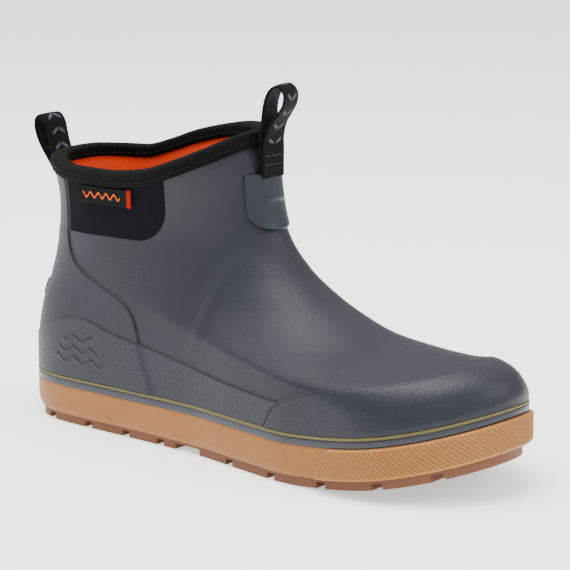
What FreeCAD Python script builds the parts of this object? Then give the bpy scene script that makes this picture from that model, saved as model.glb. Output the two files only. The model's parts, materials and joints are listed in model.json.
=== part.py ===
"""An ankle-high rubber deck boot, right foot, as separate pieces in one document.

+X points to the toe, -Y to the outer (lateral) side, +Z up. The origin is on the
ground under the middle of the sole. Millimetres.

The whole upper follows one surface. A level cut through it is a closed outline with
a squared heel and a rounded toe, and the levels get shorter as they go up, which
makes the vamp. Every layer is that surface, moved outward or inward by its depth.
The sole curls up at the toe along an arc, the toe spring, and everything follows it.
Levels count up from a datum line, and the ground lies at the level called ground.
"""
import FreeCAD, Part
import math
import os

Vector = FreeCAD.Vector

doc = FreeCAD.newDocument("deck_boot")
sheet = doc.addObject("Spreadsheet::Sheet", "Sizes")

SIZES = [
    ("ground", 3.8), ("tread_top", 8.3), ("channel_depth", 3.2), ("channel_width", 5.0),
    ("wall_top", 25.2), ("stripe_top", 28.7), ("pinstripe_top", 31.0),
    ("spring_start", 38.7), ("spring_radius", 342.0),
    ("rubber", 2.2), ("neoprene", 3.0), ("overlay", 0.9), ("sole_wall", 1.7),
    ("midsole", 4.6), ("board", 2.0), ("footbed", 5.0), ("topcloth", 1.0),
    ("footbed_clearance", 2.0), ("slit", 0.1), ("overlay_slit", 0.35), ("running_slit", 0.5),
    ("binding_height", 8.0), ("binding_proud", 2.6), ("binding_lip", 1.4),
    ("tape_width", 17.0), ("tape", 1.6), ("patch_width", 30.0), ("patch", 2.8),
    ("bumper", 1.5), ("badge", 1.6), ("badge_width", 40.0), ("ledge", 3.0), ("ledge_width", 32.0),
    ("label_length", 37.0), ("label_height", 9.4), ("label_thickness", 1.2),
    ("reach", 200.0),
]
for row, (alias, value) in enumerate(SIZES, start=1):
    sheet.set("A%d" % row, alias)
    sheet.set("B%d" % row, str(value))
    sheet.setAlias("B%d" % row, alias)
doc.recompute()


def size(alias):
    """Read one driving dimension from the sheet."""
    return float(getattr(sheet, alias))


# ---------------------------------------------------------------- curves

def smooth_curve(points):
    """A function through (place, value) points that never overshoots between them."""
    xs = [p[0] for p in points]
    ys = [p[1] for p in points]
    steps = [b - a for a, b in zip(xs, xs[1:])]
    rises = [(b - a) / step for a, b, step in zip(ys, ys[1:], steps)]
    slopes = [rises[0]]
    for k in range(1, len(rises)):
        before, after = rises[k - 1], rises[k]
        if before * after <= 0:
            slopes.append(0.0)
            continue
        w1 = 2 * steps[k] + steps[k - 1]
        w2 = steps[k] + 2 * steps[k - 1]
        slopes.append((w1 + w2) / (w1 / before + w2 / after))
    slopes.append(rises[-1])

    def value(x):
        x = min(max(x, xs[0]), xs[-1])
        k = 0
        while k < len(steps) - 1 and x > xs[k + 1]:
            k += 1
        s = (x - xs[k]) / steps[k]
        rise = ys[k + 1] - ys[k]
        lead = slopes[k] * steps[k] * s * (1 - s) ** 2
        trail = slopes[k + 1] * steps[k] * s * s * (1 - s)
        return ys[k] + rise * s * s * (3 - 2 * s) + lead - trail

    return value


LATERAL, MEDIAL = -1, 1
BASE_LEVEL = 33.0                      # below this level the outline stays the same
HEEL_SQUARENESS, TOE_ROUNDNESS = 2.8, 2.0

# Height of a level cut -> where the cut ends at the heel and at the front.
heel_line = smooth_curve([(30, -149.8), (33, -149.8), (48, -149.9), (65, -146.9), (85, -138.9),
                          (105, -133.5), (125, -132.0), (145, -134.7), (190, -137.0)])
front_line = smooth_curve([(30, 149.2), (33, 149.2), (42, 145.8), (52, 134.9), (60, 107.0), (68, 78.0),
                           (76, 60.0), (86, 42.0), (98, 25.3), (112, 13.0), (126, 6.2),
                           (140, 2.6), (156, 0.0), (172, -6.7), (190, -11.0)])
# Height -> length over which the cut rounds off at the heel and at the front.
heel_round = smooth_curve([(33, 44), (80, 46), (120, 52), (170, 56)])
front_round = {
    LATERAL: smooth_curve([(33, 58), (50, 70), (65, 100), (85, 125), (110, 120),
                           (130, 95), (150, 72), (190, 60)]),
    MEDIAL: smooth_curve([(33, 68), (50, 82), (65, 108), (85, 125), (110, 120),
                          (130, 95), (150, 72), (190, 60)]),
}
# Place along the foot -> half width, and how much of it is left higher up.
half_width = {
    LATERAL: smooth_curve([(-150, 34), (-110, 35.5), (-60, 36.5), (-20, 38.5), (20, 45),
                           (55, 49.5), (85, 49.5), (120, 48), (152, 46)]),
    MEDIAL: smooth_curve([(-150, 34), (-110, 35.5), (-60, 34), (-20, 34.5), (20, 42),
                          (55, 49), (85, 49.5), (120, 47), (152, 45)]),
}
width_kept = smooth_curve([(33, 1.0), (60, 0.985), (90, 0.96), (120, 0.98), (150, 1.06),
                           (175, 1.14), (190, 1.16)])
centre_line = smooth_curve([(-150, 0), (20, 0), (90, 1), (152, 5)])
# Top of the collar binding on each side.
collar_line = {
    LATERAL: smooth_curve([(-140, 152), (-128, 149.5), (-105, 146.2), (-80, 146), (-56, 148),
                           (-36, 154), (-18, 162), (-4, 171)]),
    MEDIAL: smooth_curve([(-140, 152), (-128, 150), (-114, 149.5), (-95, 154), (-77, 160),
                          (-56, 165), (-36, 168.5), (-4, 171)]),
}
rand_line = smooth_curve([(-151, 44), (-142, 50), (-129, 57), (-112, 63.5), (-100, 64.5),
                          (-79, 60), (-42, 54), (7, 47), (48, 44.6)])


def toe_spring(x):
    """How far the sole has curled up at place x: an arc that starts under the ball."""
    past = max(x - size("spring_start"), 0.0)
    radius = size("spring_radius")
    return radius - math.sqrt(radius * radius - past * past)


def rounding(part, power):
    """Share of the full width where this part of the rounded end has been passed."""
    left = 1.0 - min(max(part, 0.0), 1.0)
    return (1.0 - left ** power) ** (1.0 / power)


HEEL_SPACING = 1.4                     # crowds places towards the squared heel


def side_of(turn):
    """Wrap a turn into -1..1 and say which side of the boot it is on."""
    turn = (turn + 1.0) % 2.0 - 1.0
    return turn, (LATERAL if turn < 0 else MEDIAL)


def flat_point(turn, level):
    """Point of the outer surface before the toe spring. Turn 0 is heel, +-1 front."""
    turn, side = side_of(turn)
    cut = max(level, BASE_LEVEL)
    back, front = heel_line(cut), front_line(cut)
    angle = math.pi * abs(turn) ** HEEL_SPACING
    x = (back + front) / 2 - (front - back) / 2 * math.cos(angle)
    width = half_width[side](x) * width_kept(cut)
    width *= rounding((x - back) / heel_round(cut), HEEL_SQUARENESS)
    width *= rounding((front - x) / front_round[side](cut), TOE_ROUNDNESS)
    return Vector(x, side * width + centre_line(x), level)


def surface_point(turn, level, depth):
    """Point at this depth outside the surface, with the toe spring added, above the ground."""
    here = flat_point(turn, level)
    along = flat_point(turn + 0.004, level) - flat_point(turn - 0.004, level)
    up = flat_point(turn, level + 0.4) - flat_point(turn, level - 0.4)
    outward = up.cross(along)
    outward.normalize()
    there = here + outward * depth
    return Vector(there.x, there.y, there.z + toe_spring(there.x) - size("ground"))


def turn_at(x, level, side):
    """The turn whose outer surface point lies at place x."""
    cut = max(level, BASE_LEVEL)
    back, front = heel_line(cut), front_line(cut)
    cosine = ((back + front) / 2 - x) / ((front - back) / 2)
    angle = math.acos(min(max(cosine, -1.0), 1.0))
    return side * (angle / math.pi) ** (1.0 / HEEL_SPACING)


def collar_level(turn, drop):
    """Level of the collar at this turn, less a drop. It depends on x, so it is iterated."""
    level = 150.0
    for _ in range(12):
        x = flat_point(turn, level).x
        level = collar_line[side_of(turn)[1]](x) - drop
    return level


# ---------------------------------------------------------------- solids

def grid_surface(grid):
    surface = Part.BSplineSurface()
    surface.interpolate(grid)
    return surface


def ruled(first, second):
    return Part.makeRuledSurface(first.toShape(), second.toShape())


def skin_solid(outer, inner, closed):
    """Solid between two point grids. A closed one meets itself, so it has no ends."""
    a, b = grid_surface(outer), grid_surface(inner)
    faces = [a.toShape(), b.toShape(), ruled(a.vIso(0.0), b.vIso(0.0)), ruled(a.vIso(1.0), b.vIso(1.0))]
    if not closed:
        faces += [ruled(a.uIso(0.0), b.uIso(0.0)), ruled(a.uIso(1.0), b.uIso(1.0))]
    shell = Part.Shell(faces)
    shell.sewShape()
    solid = Part.Solid(shell)
    if solid.Volume < 0:
        solid.reverse()
    return solid


def steps(first, last, count):
    return [first + (last - first) * k / count for k in range(count + 1)]


def upper_shares():
    """Shares of the upper's height that space its rows evenly along the front."""
    levels = steps(size("tread_top"), 171.0, 800)
    travel = [0.0]
    for a, b in zip(levels, levels[1:]):
        travel.append(travel[-1] + math.hypot(b - a, front_line(b) - front_line(a)))
    shares = []
    for wanted in steps(0.0, travel[-1], 60):
        k = min(range(len(travel)), key=lambda n: abs(travel[n] - wanted))
        shares.append((levels[k] - levels[0]) / (levels[-1] - levels[0]))
    return shares


UPPER_SHARES = upper_shares()
RING_TURNS = steps(0.0, 2.0, 76)     # starts and ends at the flat of the heel


def upper_ring(outer_depth, inner_depth, bottom, drop):
    """One closed layer of the upper, from a bottom level to a drop below the collar."""
    grids = []
    for depth in (outer_depth, inner_depth):
        grid = []
        for turn in RING_TURNS:
            top = collar_level(turn, drop)
            grid.append([surface_point(turn, bottom + (top - bottom) * share, depth)
                         for share in UPPER_SHARES])
        grids.append(grid)
    return skin_solid(grids[0], grids[1], True)


def band_ring(outer_depth, inner_depth, low, high):
    """A closed band between two levels, low and high being numbers or functions of turn."""
    return band(RING_TURNS, outer_depth, inner_depth, low, high, True)


def band(turns, outer_depth, inner_depth, low, high, closed=False):
    grids = []
    for depth in (outer_depth, inner_depth):
        grid = []
        for turn in turns:
            bottom = low(turn) if callable(low) else low
            top = high(turn) if callable(high) else high
            grid.append([surface_point(turn, level, depth) for level in steps(bottom, top, 8)])
        grids.append(grid)
    return skin_solid(grids[0], grids[1], closed)


def side_prism(wire, sides):
    """Extrude an outline of the side view through one side of the boot or both."""
    face = Part.Face(wire)
    reach = size("reach")
    face.translate(Vector(0, 0, -size("ground")))
    shapes = [face.extrude(Vector(0, side * reach, 0)) for side in sides]
    return shapes[0] if len(shapes) == 1 else shapes[0].fuse(shapes[1])


def back_prism(half, low, high, corner, start_x, end_x):
    """A block, seen from the front or back, with its lower corners rounded."""
    lift = high - low
    floor = low - size("ground")
    box = Part.makeBox(abs(end_x - start_x), 2 * half, lift, Vector(min(start_x, end_x), -half, floor))
    edges = [e for e in box.Edges if abs(e.BoundBox.XLength) > 1 and e.BoundBox.ZMax < floor + 0.1]
    return box.makeFillet(corner, edges)


def side_wire(parts):
    """Closed outline in the side view: each part is a list of (x, z), curved if over two."""
    edges = []
    for part in parts:
        points = [Vector(x, 0, z) for x, z in part]
        if len(points) == 2:
            edges.append(Part.LineSegment(points[0], points[1]).toShape())
            continue
        curve = Part.BSplineCurve()
        curve.interpolate(points)
        edges.append(curve.toShape())
    return Part.Wire(edges)


pieces = []


def keep(label, shape):
    """Add a finished shape to the document as a piece of the boot."""
    piece = doc.addObject("Part::Feature", label)
    piece.Label = label
    piece.Shape = shape
    piece.Placement = FreeCAD.Placement()
    pieces.append(piece)
    return piece


# ---------------------------------------------------------------- sole

def plan_face(depth):
    """Level face inside the base outline moved outward by a depth."""
    points = []
    for turn in RING_TURNS[:-1]:
        point = surface_point(turn, BASE_LEVEL - 2, depth)
        points.append(Vector(point.x, point.y, -20))
    curve = Part.BSplineCurve()
    curve.interpolate(points, PeriodicFlag=True)
    return Part.Face(Part.Wire([curve.toShape()]))


def sprung_profile(low, high):
    """Side view of a slab that follows the toe spring, from low to high above the tread."""
    start, radius, reach = size("spring_start"), size("spring_radius"), size("reach")
    lean = 0.35                        # radians of arc, enough to pass the toe

    def edges(level):
        level -= size("ground")
        centre = Vector(start, 0, radius + level)
        end = centre + Vector(radius * math.sin(lean), 0, -radius * math.cos(lean))
        middle = centre + Vector(radius * math.sin(lean / 2), 0, -radius * math.cos(lean / 2))
        floor = Vector(start, 0, level)
        flat = Part.LineSegment(Vector(-reach, 0, level), floor).toShape()
        return flat, Part.Arc(floor, middle, end).toShape(), end

    flat_low, arc_low, end_low = edges(low)
    flat_high, arc_high, end_high = edges(high)
    front = Part.LineSegment(end_low, end_high).toShape()
    ground = size("ground")
    back = Part.LineSegment(Vector(-reach, 0, high - ground), Vector(-reach, 0, low - ground)).toShape()
    return Part.Wire([flat_low, arc_low, front, arc_high, flat_high, back])


def sole_slab(label, depth, low, high):
    """A slab of the sole: its plan pushed up through its side view."""
    plan = doc.addObject("Part::Feature", label + "_plan")
    plan.Shape = plan_face(depth)
    column = doc.addObject("Part::Extrusion", label + "_column")
    column.Base = plan
    column.DirMode = "Custom"
    column.Dir = Vector(0, 0, 1)
    column.Solid = True
    column.setExpression("LengthFwd", "Sizes.reach")
    outline = doc.addObject("Part::Feature", label + "_profile")
    outline.Shape = Part.Face(sprung_profile(low, high))
    slice_block = doc.addObject("Part::Extrusion", label + "_slice")
    slice_block.Base = outline
    slice_block.DirMode = "Custom"
    slice_block.Dir = Vector(0, 1, 0)
    slice_block.Solid = True
    slice_block.Symmetric = True
    slice_block.setExpression("LengthFwd", "Sizes.reach")
    slab = doc.addObject("Part::Common", label)
    slab.Base = column
    slab.Tool = slice_block
    slab.Label = label
    return slab


CHANNELS = [-127, -97.5, -69.5, -44, -24, 8.5, 40, 72, 104, 129.5]
WAIST_CHANNEL = 4                      # the one under the arch is wider
WAIST_WIDTH = 18.0
TREAD_INSET = 1.2                      # how far the tread lies inside the base outline


def make_outsole():
    """Tread slab with channels cut across its underside."""
    slab = sole_slab("outsole_slab", -TREAD_INSET, size("ground"), size("tread_top"))
    cutters = []
    for index, x in enumerate(CHANNELS):
        box = doc.addObject("Part::Box", "channel_%d" % (index + 1))
        if index == WAIST_CHANNEL:
            box.Length = WAIST_WIDTH
        else:
            box.setExpression("Length", "Sizes.channel_width")
        box.setExpression("Width", "Sizes.reach")
        box.Height = size("channel_depth") + 20
        wide = WAIST_WIDTH if index == WAIST_CHANNEL else size("channel_width")
        lean = math.degrees(math.asin(max(x - size("spring_start"), 0) / size("spring_radius")))
        turn = FreeCAD.Rotation(Vector(0, 1, 0), -lean)
        corner = turn.multVec(Vector(-wide / 2, 0, size("channel_depth") - box.Height.Value))
        place = Vector(x, -size("reach") / 2, toe_spring(x)) + corner
        box.Placement = FreeCAD.Placement(place, turn)
        cutters.append(box)
    channels = doc.addObject("Part::Compound", "tread_channels")
    channels.Links = cutters
    outsole = doc.addObject("Part::Cut", "outsole")
    outsole.Base = slab
    outsole.Tool = channels
    outsole.Label = "outsole"
    pieces.append(outsole)


def make_inner_sole():
    """Cushion, board, loose footbed and its cloth, stacked up from the tread."""
    slit = size("slit")
    inside = -(size("rubber") + size("neoprene") + slit)
    level = size("tread_top") + slit
    stack = [("midsole", "midsole", inside - slit), ("insole_board", "board", inside - slit),
             ("footbed", "footbed", inside - size("footbed_clearance")),
             ("footbed_topcloth", "topcloth", inside - size("footbed_clearance"))]
    for label, thickness, depth in stack:
        if label == "footbed":
            level += size("running_slit") - slit
        top = level + size(thickness)
        pieces.append(sole_slab(label, depth, level, top))
        level = top + (0.0 if label == "footbed" else slit)


def make_sole_bands():
    """Tan wall, grey stripe and pinstripe, wrapped round the base of the upper."""
    slit, wall = size("slit"), size("sole_wall")
    keep("foxing_band", band_ring(wall, slit, size("tread_top") + slit, size("wall_top")))
    keep("stripe_band", band_ring(wall - 0.3, slit, size("wall_top") + slit, size("stripe_top")))
    keep("pinstripe", band_ring(wall - 0.7, slit, size("stripe_top") + slit, size("pinstripe_top")))


BUMPER_BACK_TOP, BUMPER_BACK_LOW = 77.0, 69.0
BADGE_LEVELS = (17.0, 29.0)


def make_bumper_and_badge():
    """Rubber bumper round the toe and the plain badge at the back of the sole."""
    slit, wall = size("slit"), size("sole_wall")
    low, high = size("tread_top") + 1.0, size("wall_top") - 0.4
    grids = []
    for depth in (wall + slit + size("bumper"), wall + slit):
        grid = []
        for share in steps(0.0, 1.0, 48):
            row = []
            for level in steps(low, high, 6):
                back = BUMPER_BACK_LOW + (BUMPER_BACK_TOP - BUMPER_BACK_LOW) * (level - low) / (high - low)
                first = turn_at(back, level, MEDIAL)
                last = 2.0 + turn_at(back, level, LATERAL)
                row.append(surface_point(first + (last - first) * share, level, depth))
            grid.append(row)
        grids.append(grid)
    keep("toe_bumper", skin_solid(grids[0], grids[1], False))
    half = size("badge_width") / 2
    reach = next(t for t in steps(0.0, 0.4, 400) if abs(flat_point(t, 20).y) >= half)
    ends = steps(-reach, reach, 16)
    under = wall + size("overlay_slit")
    keep("heel_badge", band(ends, under + size("badge"), under, *BADGE_LEVELS))


# ---------------------------------------------------------------- upper

GORE_BACK, GORE_BOTTOM, GORE_CORNER = -110.0, 110.5, 17.0
GORE_FRONT = ((-41.5, 127.5), (-35.0, 190.0))
HIGH = 200.0                           # above the collar


def gore_wire(inset):
    """Side view of the stretch panel: upright back edge, rounded lower front corner."""
    back, bottom = GORE_BACK + inset, GORE_BOTTOM + inset
    front_low = Vector(GORE_FRONT[0][0] - inset, 0, GORE_FRONT[0][1])
    front_high = Vector(GORE_FRONT[1][0] - inset, 0, HIGH)
    bend = Vector(front_low.x - GORE_CORNER, 0, bottom)
    middle = Vector(front_low.x - GORE_CORNER * 0.29, 0, bottom + GORE_CORNER * 0.29)
    return Part.Wire([
        Part.LineSegment(Vector(back, 0, HIGH), Vector(back, 0, bottom)).toShape(),
        Part.LineSegment(Vector(back, 0, bottom), bend).toShape(),
        Part.Arc(bend, middle, front_low).toShape(),
        Part.LineSegment(front_low, front_high).toShape(),
        Part.LineSegment(front_high, Vector(back, 0, HIGH)).toShape(),
    ])


def make_shell_and_gores():
    """Rubber shell with a window on each side, and the stretch panels that fill them."""
    slit, rubber = size("slit"), size("rubber")
    bottom, lip = size("tread_top") + slit, size("binding_lip")
    shell = upper_ring(0.0, -rubber, bottom, lip)
    shell = shell.cut(side_prism(gore_wire(0.0), (LATERAL, MEDIAL)))
    keep("rubber_upper", shell)
    panel = upper_ring(-0.3, slit - rubber, bottom, lip)
    for label, side in (("gore_lateral", LATERAL), ("gore_medial", MEDIAL)):
        keep(label, panel.common(side_prism(gore_wire(slit), (side,))))


def make_lining_and_binding():
    """Neoprene lining, and the binding that folds over the top of all the layers."""
    slit, rubber = size("slit"), size("rubber")
    inner = -(rubber + slit + size("neoprene"))
    lip = size("binding_lip")
    keep("lining", upper_ring(-rubber - slit, inner, size("tread_top") + slit, lip))
    tall = size("binding_height")
    whole = collar_ring(size("binding_proud"), inner - slit - lip, tall, 0.0)
    slot = collar_ring(slit, inner - slit, tall + 2.0, lip - slit)
    keep("collar_binding", whole.cut(slot))


def collar_ring(outer_depth, inner_depth, drop_low, drop_high):
    return band_ring(outer_depth, inner_depth,
                     lambda turn: collar_level(turn, drop_low),
                     lambda turn: collar_level(turn, drop_high))


SEAM = [(-59.5, 57.6), (-61, 66), (-65, 74.5), (-81, 81), (-99, 89), (-108, 96.5), (-111, 106)]


def make_counter():
    """Heel counter: an overlay behind a curved seam, with a strip up to the binding."""
    slit = size("slit")
    layer = upper_ring(size("overlay"), slit, size("pinstripe_top") + slit, size("binding_height") + slit)
    lift = 0.25
    far = -size("reach")
    lower = [(x, rand_line(x) + lift) for x in (-151, -142, -129, -112, -100, -79)] + [SEAM[0]]
    wire = side_wire([
        [(far, lower[0][1]), lower[0]], lower, SEAM, [SEAM[-1], (SEAM[-1][0], HIGH)],
        [(SEAM[-1][0], HIGH), (far, HIGH)], [(far, HIGH), (far, lower[0][1])],
    ])
    keep("heel_counter", layer.common(side_prism(wire, (LATERAL, MEDIAL))))


CAP_EDGE = [(39, 34.5), (42, 39.5), (48, 44.6), (56, 48.4), (68, 51), (86, 52.5), (112, 52.6)]
CAP_FRONT_LEVEL = 56.0


def cap_level(turn):
    """Level of the toe cap's edge. It rises from the band and levels out over the toe."""
    points = [(abs(turn_at(x, level, MEDIAL)), level) for x, level in CAP_EDGE]
    mirrored = (2.0 - points[-1][0], points[-1][1])
    return smooth_curve(points + [(1.0, CAP_FRONT_LEVEL), mirrored])(abs(side_of(turn)[0]))


def make_toe_cap():
    """Toe cap: an overlay that climbs from the sole and levels out over the toes."""
    slit = size("overlay_slit")
    low = size("pinstripe_top") + size("slit")
    start = turn_at(CAP_EDGE[0][0], BASE_LEVEL, MEDIAL)
    turns = steps(start, 2.0 - start, 56)
    keep("toe_cap", band(turns, 1.4, slit, low, cap_level))


RAND_START = 0.06


def make_rands():
    """Low side overlays from the back of the heel to the toe cap's edge."""
    slit = size("overlay_slit")
    low = size("pinstripe_top") + size("slit")
    for label, side in (("side_rand_lateral", LATERAL), ("side_rand_medial", MEDIAL)):
        grids = []
        for depth in (size("overlay"), slit):
            grid = []
            for share in steps(0.0, 1.0, 48):
                row = []
                for rise in steps(0.0, 1.0, 6):
                    end = turn_at(35.5 + 8.0 * rise, BASE_LEVEL, side)
                    turn = side * RAND_START + (end - side * RAND_START) * share
                    top = rand_line(flat_point(turn, 45).x)
                    row.append(surface_point(turn, low + (top - low) * rise, depth))
                grid.append(row)
            grids.append(grid)
        keep(label, skin_solid(grids[0], grids[1], False))


# ---------------------------------------------------------------- pull loops and patches

FRONT_PATCH, FRONT_TAIL = (119.0, 148.0), (133.0, 150.0)
REAR_PATCH, REAR_TAIL = (94.0, 121.0), (99.0, 122.0)
LEDGE_LEVELS = (66.0, 77.0)


def make_patches():
    """Rubber patches that hold the tape ends, and the ledge that helps kick the boot off."""
    slit, tape, patch = size("slit"), size("tape"), size("patch")
    half, tape_half = size("patch_width") / 2, size("tape_width") / 2
    base = size("pinstripe_top")
    drop = size("binding_height") + slit
    reach = size("reach")
    places = [("front", slit, FRONT_PATCH, FRONT_TAIL, reach),
              ("rear", size("overlay") + slit, REAR_PATCH, REAR_TAIL, -reach)]
    for end, floor, patch_span, tail_span, far in places:
        near = far * 0.5 if end == "rear" else -30.0
        patch_block = back_prism(half, patch_span[0], patch_span[1], 9.0, near, far)
        tail_block = back_prism(tape_half, tail_span[0], tail_span[1], 1.0, near, far)
        room = back_prism(tape_half + slit, tail_span[0] - slit, tail_span[1] + 9, 1.0, near, far)
        tail_layer = upper_ring(floor + tape, floor, base, drop)
        keep(end + "_loop_tail", tail_layer.common(tail_block))
        hollow = upper_ring(floor + tape + slit, floor - 2.0, base, drop).common(room)
        cover = upper_ring(floor + patch, floor, base, drop).common(patch_block)
        keep(end + "_patch", cover.cut(hollow))
    floor = size("overlay") + slit
    ledge = upper_ring(floor + size("ledge"), floor, base, drop)
    block = back_prism(size("ledge_width") / 2, LEDGE_LEVELS[0], LEDGE_LEVELS[1], 3.0, -reach * 0.6, -reach)
    keep("heel_kick_ledge", ledge.common(block))


FRONT_LOOP = [(2.4, 150.6), (2.2, 162), (2.0, 173), (2.6, 183), (5.2, 190), (10.0, 193.0),
              (14.0, 189.5), (13.9, 184), (11.2, 179), (7.4, 173.5), (5.0, 166.5), (4.5, 159), (4.2, 150.6)]
REAR_LOOP = [(-134.6, 122.8), (-138.5, 131), (-142.2, 137.5), (-145, 143.5), (-147, 150), (-148.6, 157),
             (-150.2, 163), (-153.6, 166.7), (-157.2, 165), (-158.0, 160.5), (-156.4, 154),
             (-153.0, 147.5), (-148.6, 141.3), (-143.6, 134.8), (-139.8, 129.3), (-136.4, 122.8)]


def make_loop(label, path):
    """A pull loop: a strip of webbing bent along its path, drawn in the side view."""
    middle = Part.BSplineCurve()
    middle.interpolate([Vector(x, z - size("ground"), 0) for x, z in path])
    half = size("tape") / 2
    sides = []
    for offset in (half, -half):
        points = []
        for share in steps(middle.FirstParameter, middle.LastParameter, 60):
            along = middle.tangent(share)[0]
            point = middle.value(share)
            points.append(point + Vector(-along.y, along.x, 0) * offset)
        curve = Part.BSplineCurve()
        curve.interpolate(points)
        sides.append((curve, points))
    body = doc.addObject("PartDesign::Body", label)
    body.Label = label
    sketch = body.newObject("Sketcher::SketchObject", label + "_outline")
    plane = next(f for f in body.Origin.OriginFeatures if f.Role == "XZ_Plane")
    sketch.AttachmentSupport = [(plane, "")]
    sketch.MapMode = "FlatFace"
    (left, left_points), (right, right_points) = sides
    sketch.addGeometry(left, False)
    sketch.addGeometry(right, False)
    sketch.addGeometry(Part.LineSegment(left_points[0], right_points[0]), False)
    sketch.addGeometry(Part.LineSegment(left_points[-1], right_points[-1]), False)
    pad = body.newObject("PartDesign::Pad", label + "_pad")
    pad.Profile = sketch
    pad.SideType = "Symmetric"
    pad.setExpression("Length", "Sizes.tape_width")
    body.Tip = pad
    pieces.append(body)


LABEL_MIDDLE, LABEL_TOP = -78.5, 137.3


def make_label():
    """Flat woven label on the outer stretch panel, hung from just below the binding."""
    half = size("label_length") / 2
    level = LABEL_TOP
    depth = 1.0
    back = surface_point(turn_at(LABEL_MIDDLE - half, level, LATERAL), level, depth)
    front = surface_point(turn_at(LABEL_MIDDLE + half, level, LATERAL), level, depth)
    slant = math.degrees(math.atan2(front.y - back.y, front.x - back.x))
    box = doc.addObject("Part::Box", "side_label")
    box.Label = "side_label"
    box.setExpression("Length", "Sizes.label_length")
    box.setExpression("Width", "Sizes.label_thickness")
    box.setExpression("Height", "Sizes.label_height")
    turn = FreeCAD.Rotation(Vector(0, 0, 1), slant)
    corner = Vector(back.x, back.y, LABEL_TOP - size("label_height") - size("ground"))
    corner += turn.multVec(Vector(0, -size("label_thickness"), 0))
    box.Placement = FreeCAD.Placement(corner, turn)
    pieces.append(box)


make_outsole()
make_inner_sole()
make_sole_bands()
make_bumper_and_badge()
make_shell_and_gores()
make_lining_and_binding()
make_counter()
make_toe_cap()
make_rands()
make_patches()
make_loop("front_pull_loop", FRONT_LOOP)
make_loop("rear_pull_loop", REAR_LOOP)
make_label()
doc.recompute()

for item in doc.Objects:
    if "Invalid" in item.State or "Error" in item.State:
        raise RuntimeError("%s did not compute: %s" % (item.Label, item.State))
for piece in pieces:
    if piece.Shape.isNull() or not piece.Shape.isValid():
        raise RuntimeError("%s has no valid shape" % piece.Label)
    if len(piece.Shape.Solids) != 1:
        raise RuntimeError("%s has %d solids" % (piece.Label, len(piece.Shape.Solids)))

os.makedirs("parts", exist_ok=True)
for piece in pieces:
    piece.Shape.exportStep(os.path.join("parts", piece.Label + ".step"))
    box = piece.Shape.BoundBox
    print("%-20s %9.0f mm3  x %7.1f %7.1f  y %6.1f %6.1f  z %6.1f %6.1f"
          % (piece.Label, piece.Shape.Volume, box.XMin, box.XMax, box.YMin, box.YMax, box.ZMin, box.ZMax))
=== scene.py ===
"""Looks of an ankle-high rubber deck boot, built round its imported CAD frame.

Every layer of the boot follows one surface, the last: a level cut through it is a
closed outline with a squared heel and a rounded toe, and the cuts get shorter as they
rise, which makes the vamp. A piece is that surface at some depth outside or inside it.
Lengths are in millimetres until a mesh is made, and a mesh is in metres.
"""
import json
import logging
import math
from dataclasses import dataclass, field
from enum import Enum
from typing import Sequence

import bpy
import numpy as np
from mathutils import Matrix, Vector


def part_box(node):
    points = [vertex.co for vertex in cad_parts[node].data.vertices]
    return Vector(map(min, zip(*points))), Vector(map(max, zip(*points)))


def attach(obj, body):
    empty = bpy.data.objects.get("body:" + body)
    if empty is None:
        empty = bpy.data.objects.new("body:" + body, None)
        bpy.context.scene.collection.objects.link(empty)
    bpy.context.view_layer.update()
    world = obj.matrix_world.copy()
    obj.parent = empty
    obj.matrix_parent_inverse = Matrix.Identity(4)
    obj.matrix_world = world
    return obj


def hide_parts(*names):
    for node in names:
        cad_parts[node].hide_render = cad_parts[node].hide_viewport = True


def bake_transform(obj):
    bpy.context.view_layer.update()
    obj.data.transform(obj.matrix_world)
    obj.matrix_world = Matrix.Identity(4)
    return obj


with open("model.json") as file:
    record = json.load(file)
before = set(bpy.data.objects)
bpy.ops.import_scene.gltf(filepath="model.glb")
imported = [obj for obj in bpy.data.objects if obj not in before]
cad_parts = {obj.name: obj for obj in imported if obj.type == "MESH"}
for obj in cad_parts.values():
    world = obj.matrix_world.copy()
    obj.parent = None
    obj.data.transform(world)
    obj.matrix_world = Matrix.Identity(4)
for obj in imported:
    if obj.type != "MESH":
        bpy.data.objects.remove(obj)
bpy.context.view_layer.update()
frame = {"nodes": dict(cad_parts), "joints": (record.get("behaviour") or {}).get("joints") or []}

LOG = logging.getLogger("deck_boot")
Array = np.ndarray
MM = 0.001


class Side(Enum):
    """Which side of the foot: the outer one is -Y on a right boot."""

    LATERAL = -1
    MEDIAL = 1


# ------------------------------------------------------------------ curves

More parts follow.
